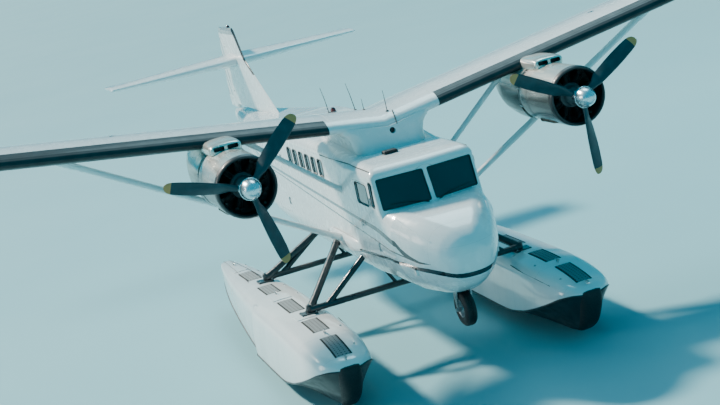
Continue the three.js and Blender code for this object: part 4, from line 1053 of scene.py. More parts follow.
def cylinder(cx, angle):
    """One finned cylinder with its head, two push-rod tubes and its plug."""
    out, flank = ray(angle), ray(angle + math.pi / 2)
    base = np.array([cx, 2.2, ENGINE_HEIGHT])
    profile = [[0.0, 0.17], [0.058, 0.17]]
    for i in range(13):
        r = 0.196 + i * 0.0125
        wide = 0.074 if i < 8 else 0.084
        profile += [[0.058, r - 0.004], [wide, r - 0.003], [wide, r + 0.001], [0.058, r + 0.002]]
    profile += [[0.062, 0.362], [0.066, 0.385], [0.045, 0.402], [0.0, 0.404]]
    parts = [revolve(base, out, profile, 28)]
    for k in (-1, 1):
        low = base + out * 0.15 + flank * k * 0.022 + np.array([0, -0.115, 0])
        high = base + out * 0.378 + flank * k * 0.044 + np.array([0, -0.062, 0])
        rocker = [[0, 0], [0.026, 0], [0.03, 0.01], [0.03, 0.07], [0, 0.07]]
        parts += [tube([low, high], 0.009, 8), revolve(high - [0, 0.024, 0], FLIGHT, rocker, 14)]
    parts.append(tube([base + out * 0.395 + [0, -0.03, 0], base + out * 0.33 + [0, -0.1, 0]], 0.006, 6))
    return parts


for side, s in SIDES:
    cx = s * ENGINE_X
    middle = np.array([cx, 0, ENGINE_HEIGHT])
    lip = [[0.426, 1.88], [0.424, 1.85], [0.43, 1.822], [0.446, 1.806], [0.462, 1.806], [0.477, 1.822],
           [0.4855, 1.85], [0.489, 1.9], [0.49, 1.96], [0.49, 2.4], [0.49, 2.97], [0.486, 3.02],
           [0.472, 3.12], [0.468, 3.12], [0.474, 3.02], [0.476, 2.96], [0.476, 2.4], [0.474, 2.0],
           [0.458, 1.92]]
    cowl = mesh_object(f"cowl_skin_{side}", revolve_loop(middle, FLIGHT, lip))
    slot = rounded(cx - 0.105, cx + 0.105, 2.395, 2.428, 0.015)
    cut(cowl, loft(np.stack([spread(*slot.T, up) for up in (4.15, 4.35)])))
    solid(cowl, polish, black_lip_and_inner_shade, second=lip_and_inside, node=f"cowl_{side}")
    crank = [[0.0, 1.868], [0.058, 1.868], [0.066, 1.885], [0.074, 1.93], [0.12, 1.955], [0.15, 2.0],
             [0.158, 2.05], [0.196, 2.075], [0.205, 2.11], [0.205, 2.29], [0.19, 2.32], [0.235, 2.345],
             [0.235, 2.44], [0.14, 2.54], [0, 2.54]]
    case = [revolve(middle, FLIGHT, crank, 56)]
    case += [revolve(middle + ray(k * math.pi / 6) * 0.138 + [0, 1.972, 0], FLIGHT,
                     [[0, 0], [0.009, 0], [0.009, 0.02], [0, 0.02]], 6) for k in range(12)]
    piece(f"crankcase_{side}", case, gear_grey, node=f"engine_{side}")
    jugs = [part for k in range(9) for part in cylinder(cx, math.pi / 2 + k * 2 * math.pi / 9)]
    mount = [tube([middle + ray(a) * 0.15 + [0, 2.48, 0], middle + ray(a) * 0.47 + [0, 2.5, 0]], 0.014, 10)
             for a in math.pi * np.array([0.25, 0.75, 1.25, 1.75])]
    baffle = revolve_loop(middle, FLIGHT, [[0.2, 2.325], [0.4, 2.3], [0.473, 2.29],
                                           [0.473, 2.296], [0.4, 2.306], [0.2, 2.331]], 72)
    collector = [middle + ray(a) * 0.33 + [0, 2.44, 0] for a in np.linspace(0, 2 * np.pi, 48, endpoint=False)]
    piece(f"cylinders_{side}", jugs + mount + [baffle], iron)
    pipes = [tube(collector, 0.034, 14, loop=True)]
    pipes += [tube([middle + ray(a) * r + [0, at, 0] for at, r in OUTLET],
                   [0.02, 0.036, 0.042, 0.046, 0.046], 20) for a in np.radians([-128, -52])]
    piece(f"exhaust_{side}", pipes, burnt)
    latches = [tube([middle + ray(a) * r + [0, at, 0] for at, r in LATCH], 0.009, 10)
               for a in np.radians(18 + 36 * np.arange(10))]
    piece(f"cowl_latches_{side}", latches, steel, slot="polished_metal")
    nacelle = mesh_object(f"nacelle_skin_{side}", loft(nacelle_rings(NACELLE, cx)))
    cut(nacelle, loft(nacelle_rings(HUMP, cx, power=0.62)), operation="UNION")
    mouths = [along_y(rounded(at - 0.088, at + 0.088, 4.268, 4.338, 0.022), 2.6, 2.8)
              for at in (cx - 0.112, cx + 0.112)]
    cut(nacelle, revolve(middle, FLIGHT, [[0, 2.0], [0.493, 2.0], [0.493, 3.123], [0, 3.123]], 96), *mouths)
    solid(nacelle, polish, black_lip_and_inner_shade, second=in_intake, node=f"nacelle_{side}")


# Propellers and spinners
# Three twisted blades of dark painted aluminium with pale orange tips in a steel hub, and a polished
# spinner over it on a back plate.
BLADE = [[0.06, 0.11, 0.1, 45], [0.16, 0.1, 0.092, 45], [0.26, 0.13, 0.078, 44], [0.42, 0.215, 0.048, 38],
         [0.8, 0.235, 0.034, 27], [1.15, 0.205, 0.024, 21], [1.23, 0.165, 0.019, 20], [1.275, 0.1, 0.012, 20],
         [1.29, 0.045, 0.006, 20]]
blade_paint = Finish("blade_paint", (0.018, 0.024, 0.028), 0.42, slot="blade_paint")
x, station, z = blade_paint.place()
reach = ((abs(x) - ENGINE_X) ** 2 + (z - ENGINE_HEIGHT) ** 2) ** 0.5
worn = blade_paint.noise(7, 5.0).ramp(0.45, 0.8)
dark_blade = blade_paint.mix(worn * 0.6, (0.012, 0.042, 0.052), (0.035, 0.085, 0.098))
blade_paint.feed("Base Color", blade_paint.mix(reach.above(1.185), dark_blade, (0.62, 0.27, 0.09)))
blade_paint.uneven((20, 4.0), (0.3, 0.7, 0.34, 0.5))
chrome = Finish("polished_spinner", (0.7, 0.8, 0.84), 0.24, 0.85, slot="bare_metal")
chrome.uneven((30, 4.0, (1, 0.2, 1)), (0.3, 0.75, 0.2, 0.32))


def blade(cx, spin):
    """One blade: sections along its reach that pass from a circle at the root to a thin airfoil.

    Each is turned by its pitch about the blade's axis: across = u cos p - v sin p, aft = u sin p + v cos p.
    """
    rows = through(BLADE, 7)
    turn = np.arange(36) * 2 * np.pi / 36
    t = (1 + np.cos(turn)) / 2
    _, half = airfoil(t, 1.0, 0.0)
    share = np.clip((rows[:, 0:1] - 0.2) / 0.22, 0, 1)
    share = share ** 2 * (3 - 2 * share)
    u = rows[:, 1:2] * ((1 - share) * np.cos(turn) / 2 + share * (t - 0.42))
    v = (1 - share) * np.sin(turn) / 2 + share * np.where(np.sin(turn) >= 0, 0.8, -1.2) * half
    v = rows[:, 2:3] * v
    p = np.radians(rows[:, 3:4])
    across_blade, aft = u * np.cos(p) - v * np.sin(p), u * np.sin(p) + v * np.cos(p)
    r = rows[:, 0:1]
    return loft(spread(cx + r * math.cos(spin) - across_blade * math.sin(spin), HUB_AT + aft,
                       ENGINE_HEIGHT + r * math.sin(spin) + across_blade * math.cos(spin)))


for (side, s), first in zip(SIDES, (0.56, 0.77)):
    cx = s * ENGINE_X
    middle = (cx, 0, ENGINE_HEIGHT)
    spins = [first + k * 2 * math.pi / 3 for k in range(3)]
    turning = f"propeller_{side}"
    piece(f"blades_{side}", [blade(cx, spin) for spin in spins], blade_paint, node=turning, body=turning,
          sharp=60)
    barrel = [[0, 1.602], [0.104, 1.602], [0.108, 1.615], [0.108, 1.745], [0.098, 1.785], [0.06, 1.8],
              [0.058, 1.866], [0, 1.866]]
    socket = [[0, 0.09], [0.068, 0.09], [0.07, 0.1], [0.07, 0.15], [0.062, 0.156], [0.062, 0.176],
              [0.056, 0.18], [0, 0.18]]
    sockets = [revolve((cx, HUB_AT, ENGINE_HEIGHT), ray(spin), socket, 28) for spin in spins]
    piece(f"hub_{side}", [revolve(middle, FLIGHT, barrel, 48)] + sockets, steel, body=turning)
    shape = through([[0.0, 1.375], [0.03, 1.378], [0.06, 1.387], [0.11, 1.425], [0.145, 1.495],
                     [0.163, 1.575], [0.165, 1.59]], 8)
    shape = np.vstack([shape, [[0.165, 1.5995], [0.0, 1.5995]]])
    plate = [[0.15, 1.6], [0.171, 1.6], [0.173, 1.604], [0.171, 1.609], [0.12, 1.609], [0.12, 1.6]]
    spinner = [revolve(middle, FLIGHT, shape, 96), revolve_loop(middle, FLIGHT, plate, 96)]
    piece(f"spinner_skin_{side}", spinner, chrome, node=f"spinner_{side}", body=turning)


# Wing struts
# One long strut a side of streamline section, from the box low on the fuselage to the wing outboard of the
# engine, and a short one inboard of it. Both are painted white, with a sleeve at each end.
def strut(start, end, wide, thin, steps=36):
    """A bar of airfoil section, its nose to the front of the aeroplane, square to its own line."""
    start, end = np.array(start, float), np.array(end, float)
    line = unit(end - start)
    flow = unit(np.array([0, 1, 0]) - line[1] * line)
    flat = np.cross(line, flow)
    turn = np.arange(steps) * 2 * np.pi / steps
    t = (1 - np.cos(turn)) / 2
    _, half = airfoil(t, thin / wide, 0.0)
    u, v = (t - 0.42) * wide, np.where(np.sin(turn) >= 0, 1, -1) * (half * wide + 0.001)
    ring = u[:, None] * flow + v[:, None] * flat
    return loft(np.stack([ring + start, ring + end]))


def sleeved(start, end, wide, thin, sleeve=0.16):
    """A strut with a slightly larger sleeve over each end."""
    start, end = np.array(start, float), np.array(end, float)
    reach = unit(end - start) * sleeve
    return [strut(start, end, wide, thin), strut(start, start + reach, wide * 1.06, thin * 1.12),
            strut(end - reach, end, wide * 1.06, thin * 1.12)]


strut_white, x, station, z = painted_skin("strut_white")
worn = strut_white.noise(3.0, 5.0).ramp(0.45, 0.8) * 0.35
strut_white.feed("Base Color", strut_white.mix(worn, strut_white.shade, (0.58, 0.62, 0.63)))
for side, s in SIDES:
    tip = np.array([s * 5.25, 3.66, wing_surface(5.25, 3.66, -1) + 0.03])
    root = np.array([s * 0.8, 4.14, 1.995])
    line = unit(tip - root)
    outer = [strut(root, tip, 0.215, 0.1), strut(tip - line * 0.26, tip, 0.232, 0.116),
             strut(root + line * 0.12, root + line * 0.36, 0.232, 0.116)]
    piece(f"strut_outer_{side}", outer, strut_white, node=f"wing_strut_{side}")
    tip = np.array([s * 2.28, 3.62, wing_surface(2.28, 3.62, -1) + 0.03])
    root = np.array([s * 0.8, 3.7, 2.9])
    line = unit(tip - root)
    short = [strut(root, tip, 0.165, 0.085), strut(tip - line * 0.18, tip, 0.182, 0.098),
             strut(root, root + line * 0.2, 0.182, 0.098)]
    piece(f"strut_inner_{side}", short, strut_white, node=f"inner_strut_{side}")


# Tail
# A fin with a long dorsal run, a tailplane halfway up it, and the rudder and elevators hinged behind
# them on short arms. White, with a grey cap, grey slanting marks on the rudder and a black front edge on
# the fin. Its beacon is screwed on top.
tail_paint, x, station, z = painted_skin("white_tail")
marks = ((station - z * 0.55 + 0.1) % 0.34).below(0.15, 0.004) * z.between(3.55, 4.95)
marks = marks * station.above(14.34, 0.002)
cap = z.above(5.055)
FIN_LINE = [(3.4, 10.3), (4.0, 11.5), (4.5, 12.5), (5.11, 12.99), (5.2, 13.08)]
edge = (station - z.along(FIN_LINE)).below(0.075) * abs(x).below(0.07) * z.above(4.2)
ribs = seams(abs(x), 0.47) * abs(x).above(0.12)
ribs = ribs.most(seams(z, 0.42) * abs(x).below(0.08))
shade = tail_paint.mix(ribs * 0.35, tail_paint.shade, SEAM)
shade = tail_paint.mix(marks * 0.85, shade, GREY)
shade = tail_paint.mix(cap, shade, (0.3, 0.34, 0.35))
tail_paint.feed("Base Color", tail_paint.mix(edge, shade, (0.015, 0.018, 0.02)))
tail_paint.feed("Coat Weight", 0.8 - edge * 0.7)
heads = rivets(from_seam(abs(x), 0.47) - 0.014, station, 0.035)
tail_paint.bump(heads * 0.5 - ribs, 0.0012, 0.5)

FIN_HINGE, TAIL_HINGE, TAIL_HEIGHT = 14.12, 14.08, 4.45
heights = np.concatenate([np.linspace(3.4, 5.13, 40), 5.2 - 0.07 * (1 - np.sin(np.linspace(0.15, 1.5, 10)))])
lead_at = np.interp(heights, [v for v, _ in FIN_LINE], [v for _, v in FIN_LINE])
swell = through([[0, 0.0], [0.015, 0.22], [0.04, 0.37], [0.12, 0.64], [0.3, 0.93], [0.5, 1.0], [1.0, 0.86]],
                6)
rings = []
for height, front_at in zip(heights, lead_at):
    slim = math.sqrt(max(1 - ((height - 5.13) / 0.0705) ** 2, 0.02)) if height > 5.13 else 1.0
    right = np.column_stack([swell[:, 1] * 0.055 * slim,
                             front_at + swell[:, 0] * (FIN_HINGE - 0.06 - front_at)])
    outline = np.vstack([right, right[:0:-1] * [-1, 1]])
    rings.append(spread(*outline.T, height))
fin = mesh_object("fin_skin", loft(np.stack(rings)))
cut(fin, revolve((0, TAIL_HINGE, TAIL_HEIGHT), (1, 0, 0),
                 [[0, -0.2], [0.045, -0.2], [0.045, 0.2], [0, 0.2]], 32))
solid(fin, tail_paint, node="fin")
arms = [part for height in (3.7, 4.74, 5.06) for part in (
    tube([(0, FIN_HINGE, height - 0.015), (0, FIN_HINGE, height + 0.015)], 0.018, 20),
    block(-0.009, 0.009, FIN_HINGE - 0.1, FIN_HINGE, height - 0.011, height + 0.011))]

rings = []
across_tail = np.concatenate([np.linspace(-2.9, -2.85, 6), [-0.075, 0.075], np.linspace(2.85, 2.9, 6)])
for at in across_tail:
    share = (abs(at) - 0.075) / 2.825
    chord, thick = 1.6 - 0.47 * share, 0.1875 - 0.0975 * share
    profile = front_profile(chord, thick, 0.0, 0.62, (30, 30))
    flat = 1 - 0.75 * max(0.0, (abs(at) - 2.85) / 0.05) ** 3
    rings.append(spread(at, TAIL_HINGE - 0.62 * chord + profile[:, 0], TAIL_HEIGHT + profile[:, 1] * flat))
piece("tailplane_skin", loft(np.stack(rings)), tail_paint, node="tailplane")
for at in (-2.5, -1.0, 1.0, 2.5):
    arms += [tube([(at - 0.012, TAIL_HINGE, TAIL_HEIGHT), (at + 0.012, TAIL_HINGE, TAIL_HEIGHT)], 0.022, 20),
             block(at - 0.008, at + 0.008, TAIL_HINGE - 0.13, TAIL_HINGE, 4.434, 4.466)]
piece("tail_hinge_arms", arms, tail_paint)
lens("fin_beacon", "red", (0, 13.45, 5.192), UP, 0.038, 0.07)
wicks = [tube([(at, 14.505, TAIL_HEIGHT), (at, 14.535, TAIL_HEIGHT), (at, 14.64, TAIL_HEIGHT - 0.004)],
              [0.005, 0.0035, 0.002], 8)
         for at in (-2.75, -2.35, 2.35, 2.75)]
piece("elevator_wicks", wicks, rubber, body="elevators")


def welded(node, name):
    """A CAD node's surface with its split corners joined and its flat triangles merged into panels."""
    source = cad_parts[node].data
    shell = bmesh.new()
    shell.from_mesh(source)
    bmesh.ops.remove_doubles(shell, verts=shell.verts, dist=0.00002)
    bmesh.ops.dissolve_limit(shell, angle_limit=math.radians(0.4), verts=shell.verts, edges=shell.edges)
    mesh = bpy.data.meshes.new(name)
    shell.to_mesh(mesh)
    shell.free()
    return placed(name, mesh)


def softened(obj, width=0.004):
    """Rounds the sharp edges of a finished piece."""
    bevel = obj.modifiers.new("edges", "BEVEL")
    bevel.width = width
    bevel.segments = 2
    bevel.limit_method = "ANGLE"
    bevel.angle_limit = math.radians(40)
    bevel.harden_normals = True
    return obj


surfaces = [("rudder", "rudder", tail_paint), ("elevator_left", "elevators", tail_paint),
            ("elevator_right", "elevators", tail_paint), ("elevator_tube", "elevators", steel)]
for side, _ in SIDES:
    surfaces += [(f"{kind}_{side}", f"{kind}_{side}", wing_paint) for kind in ("flap", "aileron")]
for node, body, finish in surfaces:
    softened(solid(welded(node, f"{node}_skin"), finish, node=node, body=body, sharp=30))


# Nose gear
# A steel leg with a collar, a fork with a short link behind it, and a bolted wheel with a grooved tyre.
# The fork steers under the collar.
GEAR_AT, AXLE = 1.23, 1.16
collar = [[0, 1.491], [0.04, 1.491], [0.04, 1.56], [0.06, 1.565], [0.06, 1.625], [0.052, 1.639], [0, 1.639]]
leg = [revolve((0, GEAR_AT, 0), UP, collar, 40),
       block(-0.1, 0.1, GEAR_AT - 0.012, GEAR_AT + 0.012, 1.585, 1.639)]
piece("leg_and_collar", leg, steel, node="nose_leg")
disc = [[0, 1.452], [0.12, 1.452], [0.138, 1.46], [0.14, 1.474], [0.132, 1.486], [0.06, 1.4895], [0, 1.4895]]
crown = [revolve((0, GEAR_AT, 0), UP, disc, 48)]
for s in (-1, 1):
    half_arm = [[-0.07, 1.486], [-0.062, 1.4], [-0.04, 1.25], [-0.036, 1.15], [-0.022, 1.124]]
    arm = np.array(half_arm + [[-u, v] for u, v in half_arm[::-1]]) + [GEAR_AT, 0]
    nut = [[0, 0], [0.024, 0], [0.024, 0.014], [0.01, 0.018], [0, 0.018]]
    crown += [across_x(arm, s * 0.1075, s * 0.1325),
              tube([(s * 0.09, GEAR_AT, AXLE), (s * 0.15, GEAR_AT, AXLE)], 0.03, 24),
              revolve((s * 0.148, GEAR_AT, AXLE), (s, 0, 0), nut, 6)]
crown += [tube([(-0.12, GEAR_AT, AXLE), (0.12, GEAR_AT, AXLE)], 0.0195, 24),
          strut((0, GEAR_AT + 0.15, 1.478), (0, GEAR_AT + 0.19, 1.43), 0.05, 0.035)]
softened(piece("steered_fork", crown, steel, node="nose_fork", body="nose_fork"), 0.003)
wheel_line = (1, 0, 0)
hub_at = (0, GEAR_AT, AXLE)
half_rim = [[0.0202, 0.062], [0.044, 0.062], [0.052, 0.052], [0.056, 0.036], [0.11, 0.022], [0.122, 0.04],
            [0.128, 0.07], [0.141, 0.078], [0.1415, 0.07], [0.136, 0.055]]
rim = [[r, -at] for r, at in half_rim] + half_rim[::-1]
bolt = [[0, -0.01], [0.008, -0.01], [0.008, 0.01], [0.004, 0.013], [0, 0.013]]
wheel = [revolve_loop(hub_at, wheel_line, rim, 64)]
for angle in np.arange(9) * 2 * math.pi / 9:
    spot = np.array([0, GEAR_AT + 0.082 * math.cos(angle), AXLE + 0.082 * math.sin(angle)])
    wheel += [revolve(spot + [s * 0.029, 0, 0], (s, 0, 0), bolt, 6) for s in (-1, 1)]
wheel_metal = Finish("wheel_metal", (0.4, 0.42, 0.43), 0.42, 0.6, slot="bare_metal")
wheel_metal.mottle((25, 5.0), (0.4, 0.7), (0.3, 0.32, 0.33), (0.48, 0.5, 0.51))
piece("wheel_rim", wheel, wheel_metal, body="nose_wheel", node="nose_wheel")
half_tyre = [[0.1423, 0.076], [0.152, 0.0845], [0.175, 0.092], [0.205, 0.095], [0.235, 0.0925], [0.26, 0.084],
             [0.276, 0.07], [0.285, 0.056], [0.2885, 0.045]]
for edge_at in (0.036, 0.012):
    half_tyre += [[0.29, edge_at], [0.283, edge_at - 0.003], [0.283, edge_at - 0.008],
                  [0.29, edge_at - 0.011]]
tyre_profile = half_tyre + [[r, -at] for r, at in half_tyre[::-1]]
piece("tyre_body", revolve_loop(hub_at, wheel_line, tyre_profile, 96), rubber, body="nose_wheel",
      node="nose_tyre")


# Floats
# Two long aluminium floats with a step, a hard chine with a spray rail, a rubber bow bumper and a black
# bottom. On the deck lie non-skid pads, screwed hatches, cleats, pump-out plugs and taut lines aft, and a
# thin dark line along each inboard shoulder is painted shadow.
FOREBODY = [[1.042, 0.06, 0.05, 0.78, 0.835, 0.865, 0.872], [1.06, 0.14, 0.12, 0.7, 0.82, 0.875, 0.89],
            [1.14, 0.28, 0.225, 0.47, 0.825, 0.92, 0.945], [1.33, 0.43, 0.33, 0.22, 0.78, 0.975, 1.01],
            [1.7, 0.525, 0.4, 0.06, 0.64, 1.03, 1.08], [2.2, 0.58, 0.44, 0.0, 0.47, 1.075, 1.13],
            [2.7, 0.595, 0.455, 0.0, 0.335, 1.095, 1.155], [3.4, 0.595, 0.46, 0.0, 0.24, 1.1, 1.16],
            [5.05, 0.585, 0.46, 0.0, 0.23, 1.1, 1.16]]
AFTERBODY = [[5.051, 0.555, 0.46, 0.08, 0.3, 1.1, 1.16], [6.3, 0.475, 0.405, 0.19, 0.39, 1.08, 1.14],
             [8.0, 0.32, 0.29, 0.38, 0.52, 1.04, 1.09], [9.2, 0.13, 0.13, 0.56, 0.64, 0.98, 1.02],
             [9.4, 0.06, 0.06, 0.62, 0.68, 0.94, 0.97]]
FLOAT_X, FOOT_X = 2.05, 1.92
float_rows = np.vstack([through(FOREBODY, 9), through(AFTERBODY, 9)])


def float_rings(rows, cx):
    """Sections of a float: flat shoe, V bottom, spray rail, side, shoulder and a deck rounded as a parabola.

    A row is station, half widths of the chine and the deck, heights of keel, chine, deck edge and crown.
    """
    at, chine_half, deck_half, keel, chine, deck, crown_at = (rows[:, i, None] for i in range(7))
    shoe = np.minimum(0.036, chine_half * 0.4)
    drop = (deck - chine) * 0.18
    u = np.linspace(0, 1, 9)
    rise = u - 0.03 * np.sin(2 * np.pi * u)
    bottom = (shoe + (chine_half - shoe) * u, keel + (chine - 0.012 - keel) * rise)
    rail_out = np.array([0.012, 0.012, 0.0]) * np.minimum(1, chine_half * 4)
    rail = (chine_half + rail_out, chine + np.array([-0.01, 0.004, 0.014]))
    side_x = deck_half + 0.5 * (chine_half - deck_half)
    v = np.linspace(0.1, 1, 9)
    flank = (chine_half + (side_x - chine_half) * v ** 2, chine + 0.014 + (deck - drop - chine - 0.014) * v)
    w = np.linspace(0.12, 1, 8)
    edge_x, edge_z = deck_half * 0.8, deck + (crown_at - deck) * 0.45
    shoulder = (curve(w, side_x, deck_half + 0.1 * (chine_half - deck_half), edge_x),
                curve(w, deck - drop, deck, edge_z))
    k = np.linspace(0.85, 0, 7)
    top_deck = (edge_x * k, crown_at - (crown_at - edge_z) * k ** 2)
    xs, zs = (np.hstack(parts) for parts in zip(bottom, rail, flank, shoulder, top_deck))
    return spread(cx + np.hstack([xs, -xs[:, -2::-1]]), at, np.hstack([zs, zs[:, -2::-1]]))


def below_chine(at, normal):
    """The faces of a float's bottom, up to just over the chine."""
    return at[:, 2] < np.interp(at[:, 1], float_rows[:, 0], float_rows[:, 4]) + 0.015


def deck_height(at, off):
    """The height of the deck at a station, off the float's middle line."""
    order = float_rows[:, 0]
    half, deck, crown_at = (np.interp(at, order, float_rows[:, i]) for i in (2, 5, 6))
    return crown_at - (crown_at - deck) * 0.55 * (np.abs(off) / (half * 0.8)) ** 2


def deck_patch(cx, start, end, wide, thick=0.006):
    """A thin plate that lies on the rounded deck."""
    at = np.linspace(start, end, 24)[:, None]
    off = np.linspace(-wide / 2, wide / 2, 13)[None, :]
    up = deck_height(at, off)
    return loft(np.hstack([spread(cx + off, at, up + thick), spread(cx + off, at, up - 0.01)[:, ::-1]]))


def bow_bumper(cx):
    """A rubber pad over the bow: at each height a bar whose front is a fourth power of x, flat at first.

    It starts under the deck's edge, follows the stem down and back, and thins out onto the keel.
    """
    rows = through([[0.882, 1.05, 0.12, 0.04], [0.86, 1.022, 0.165, 0.06], [0.78, 1.018, 0.185, 0.08],
                    [0.64, 1.04, 0.19, 0.1], [0.47, 1.11, 0.18, 0.12], [0.3, 1.22, 0.165, 0.13],
                    [0.16, 1.4, 0.13, 0.12], [0.075, 1.6, 0.08, 0.09]], 6)
    height, front_at, half, deep = (rows[:, i, None] for i in range(4))
    u = np.linspace(-1, 1, 21)
    front = spread(cx + half * u, front_at + deep * u ** 4, height)
    back = spread(cx + half * u[::-1], front_at + deep + 0.03, height + 0.05 * (1 - u ** 4))
    return loft(np.hstack([front, back]))


float_paint, x, station, z = painted_skin("white_float", roughness=0.16)
bulkheads = seams(station, 0.84)
stain = float_paint.noise(2.0, 5.0, (1, 1, 0.2)).ramp(0.42, 0.75) * z.ramp(0.3, 1.1, 0.5, 0.1)
shade = float_paint.mix(bulkheads * 0.35, float_paint.shade, SEAM)
float_paint.feed("Base Color", float_paint.mix(stain, shade, (0.5, 0.55, 0.54)))
row = from_seam(station, 0.84) - 0.016
heads = rivets(row, z, 0.04, 0.004).most(rivets(row, x, 0.04, 0.004) * z.above(1.0))
float_paint.bump(heads * 0.7 - bulkheads, 0.0015, 0.6)
bottom_black = Finish("black_bottom", (0.012, 0.016, 0.018), 0.5, Coat_Weight=0.25)
x, station, z = bottom_black.place()
scuffed = bottom_black.noise(4.0, 6.0, (1, 0.25, 1)).ramp(0.5, 0.8) * z.ramp(0.0, 0.5, 0.8, 0.15)
bottom_black.feed("Base Color", bottom_black.mix(scuffed, (0.011, 0.015, 0.017), (0.1, 0.12, 0.12)))
bottom_black.uneven((6, 4.0), (0.3, 0.7, 0.36, 0.6))
grip = Finish("non_skid", (0.17, 0.2, 0.21), 0.85, slot="tyre_rubber")
x, station, z = grip.place()
off = abs(x) - FLOAT_X
dots = rivets((station % 0.06) - 0.03, off + 0.5, 0.06, 0.013)
border = abs(off).above(0.112)
pad = grip.mix(grip.noise(200, 2.0).ramp(0.4, 0.6), (0.15, 0.18, 0.19), (0.24, 0.27, 0.28))
grip.feed("Base Color", grip.mix(dots.most(border), pad, (0.01, 0.012, 0.013)))
grip.bump(grip.noise(400, 2.0), 0.0015, 0.7)

for side, s in SIDES:
    cx = s * FLOAT_X
    hull = mesh_object(f"hull_{side}", loft(float_rings(float_rows, cx)))
    solid(hull, float_paint, bottom_black, sharp=34, second=below_chine, node=f"float_{side}")
    pads = [deck_patch(cx, start, end, 0.28)
            for start, end in ((1.27, 2.02), (2.34, 3.06), (3.75, 4.6), (5.3, 6.0), (6.7, 7.5))]
    piece(f"deck_pads_{side}", pads, grip)
    hatches = [deck_patch(cx, at, at + 0.36, 0.34, 0.01) for at in (3.16, 4.72, 7.72)]
    screw = [[0, 0], [0.008, 0], [0.007, 0.005], [0, 0.006]]
    screws = np.add.outer([3.16, 4.72, 7.72], np.linspace(0.03, 0.33, 5)).ravel()
    hatches += [revolve((cx + off, at, deck_height(at, off) + 0.008), UP, screw, 10)
                for at in screws for off in (-0.15, 0.15)]
    softened(piece(f"deck_hatches_{side}", hatches, float_paint), 0.002)
    fittings = []
    for at in (1.18, 2.19, 5.15, 8.5):
        up = deck_height(at, 0)
        horns = [(cx, at - 0.085, up + 0.045), (cx, at - 0.05, up + 0.052), (cx, at + 0.05, up + 0.052),
                 (cx, at + 0.085, up + 0.045)]
        fittings.append(tube(horns, [0.007, 0.01, 0.01, 0.007], 12))
        fittings += [tube([(cx, at + k * 0.03, up - 0.01), (cx, at + k * 0.025, up + 0.05)], 0.01, 12)
                     for k in (-1, 1)]
    for at in np.arange(1.55, 9.1, 0.84):
        half = float(np.interp(at, float_rows[:, 0], float_rows[:, 2])) * 0.72
        up = deck_height(at, half)
        plug = [[0, 0], [0.024, 0], [0.024, 0.006], [0.016, 0.01], [0.012, 0.02], [0, 0.024]]
        fittings.append(revolve((cx - s * half, at, up - 0.004), UP, plug, 20))
    piece(f"deck_fittings_{side}", fittings, steel)
    piece(f"bow_bumper_{side}", bow_bumper(cx), rubber)
    # A thin dark line along the inboard shoulder, laid where a shadow line falls: painted shadow.
    dark_shoulder_line = [[s * 1.559, 3.05, 1.05], [s * 1.559, 2.557, 1.01], [s * 1.569, 2.071, 0.99],
            [s * 1.601, 1.62, 0.952]]
    lines = [tube(through(dark_shoulder_line, 6), 0.007, 8)]
    for k in (-1, 1):
        at = np.linspace(6.55, 9.2, 12)
        off = k * np.interp(at, [6.55, 9.2], [0.16, 0.05])
        lines.append(tube(spread(cx + off, at, deck_height(at, off) + 0.016), 0.0035, 6))
    piece(f"deck_lines_{side}", lines, rubber)
    post = [block(cx - 0.022, cx + 0.022, 9.34, 9.46, z0, z0 + 0.016) for z0 in (0.679, 0.92)]
    post += [tube([(cx, 9.44, low), (cx, 9.44, high)], radius, 16)
             for low, high, radius in ((0.672, 0.694, 0.013), (0.937, 0.965, 0.016))]
    piece(f"rudder_lugs_{side}", post, steel)
    rudder = f"water_rudder_{side}"
    blade_shape = welded(rudder, f"water_rudder_blade_{side}")
    softened(solid(blade_shape, wheel_metal, node=rudder, body=rudder), 0.002)


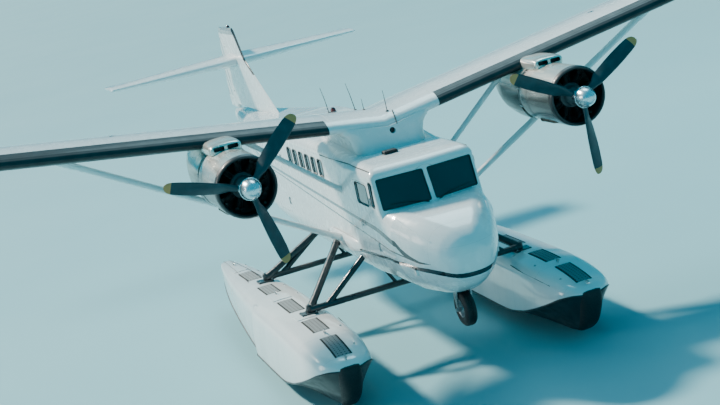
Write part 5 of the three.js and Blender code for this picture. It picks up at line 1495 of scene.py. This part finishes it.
# Float trusses
# Dark painted streamline tubes: a spreader between the floats at two stations, a leg up to each side of
# the fuselage, and diagonals under it. They stand on bolted feet on the decks.
truss_paint = Finish("dark_truss_paint", (0.016, 0.022, 0.026), 0.34, slot="strut_paint", Coat_Weight=0.5)
truss_paint.mottle((5, 5.0), (0.5, 0.8), (0.01, 0.017, 0.021), (0.028, 0.037, 0.041))
truss_paint.uneven((9, 4.0), (0.3, 0.7, 0.26, 0.42))
TRUSSES = (("front_float_truss", 3.39, 1.16, 1.225, (0.93, 4.4, 2.0), 1.9),
           ("rear_float_truss", 6.3, 1.142, 1.205, (0.76, 6.3, 1.8), 1.8))
for name, at, deck, height, leg_top, diagonal_top in TRUSSES:
    bars = sleeved((-FOOT_X, at, height), (FOOT_X, at, height), 0.19, 0.105)
    bolts = []
    cap = [[0, 0], [0.058, 0], [0.052, 0.022], [0.03, 0.034], [0, 0.038]]
    for _, s in SIDES:
        foot = s * FOOT_X
        bars += sleeved((foot, at, height), (s * leg_top[0], leg_top[1], leg_top[2]), 0.2, 0.112)
        bars += sleeved((s * 1.6, at + 0.01, height), (s * 0.74, at + 0.04, diagonal_top), 0.17, 0.095, 0.1)
        bars += sleeved((s * 0.36, at + 0.01, height), (s * 0.59, at + 0.01, 1.66), 0.11, 0.058, 0.08)
        bars += [tube([(foot, at, deck - 0.01), (foot, at, height + 0.06)], 0.058, 24),
                 revolve((foot, at, height + 0.055), UP, cap, 24),
                 block(foot - s * 0.11, s * 2.09, at - 0.11, at + 0.11, deck - 0.03, deck + 0.026)]
        bolt = [[0, 0], [0.014, 0], [0.014, 0.012], [0.008, 0.016], [0, 0.016]]
        bolts += [revolve((s * (FOOT_X + du), at + dv, deck + 0.024), UP, bolt, 6)
                  for du in (-0.085, 0.145) for dv in (-0.085, 0.085)]
    softened(piece(f"{name}_bars", bars, truss_paint, node=name), 0.003)
    piece(f"{name}_bolts", bolts, steel)


# Light
# Two soft suns from the aeroplane's right and behind, a strong high one and a weak low one, a wide lamp
# overhead and a cool sky that fills the shaded fronts. The floor is pale.
floor = mesh_object("studio_floor", block(-900, 900, -900, 900, -0.06, -0.004))
pale = Finish("pale_floor", (0.22, 0.47, 0.52), 0.8)
pale.mottle((0.15, 3.0), (0.3, 0.7), (0.21, 0.46, 0.515), (0.23, 0.48, 0.53))
floor.data.materials.append(pale.material)

LIGHTS = [("key", "SUN", (0.62, -0.95, -1.0), (0, 0, 0), 7.0, (1.0, 0.93, 0.82),
           {"angle": math.radians(6)}),
          ("side", "SUN", (1.0, -0.3, -0.3), (0, 0, 0), 0.8, (1.0, 0.95, 0.86),
           {"angle": math.radians(25)}),
          ("overhead", "AREA", (-11, -15, -31), (11, 12, 33), 3600, (0.6, 0.92, 1.0),
           {"shape": "DISK", "size": 16})]
for name, kind, heading, place, strength, colour, settings in LIGHTS:
    light = bpy.data.lights.new(name, kind)
    light.energy = strength
    light.color = colour
    for key, value in settings.items():
        setattr(light, key, value)
    lamp = placed(name, light)
    lamp.location = place
    lamp.rotation_euler = Vector(heading).to_track_quat("-Z", "Y").to_euler()
world = bpy.data.worlds.new("sky")
world.use_nodes = True
sky = next(n for n in world.node_tree.nodes if n.type == "BACKGROUND")
sky.inputs["Color"].default_value = (0.0, 0.42, 0.62, 1)
sky.inputs["Strength"].default_value = 0.85
bpy.context.scene.world = world
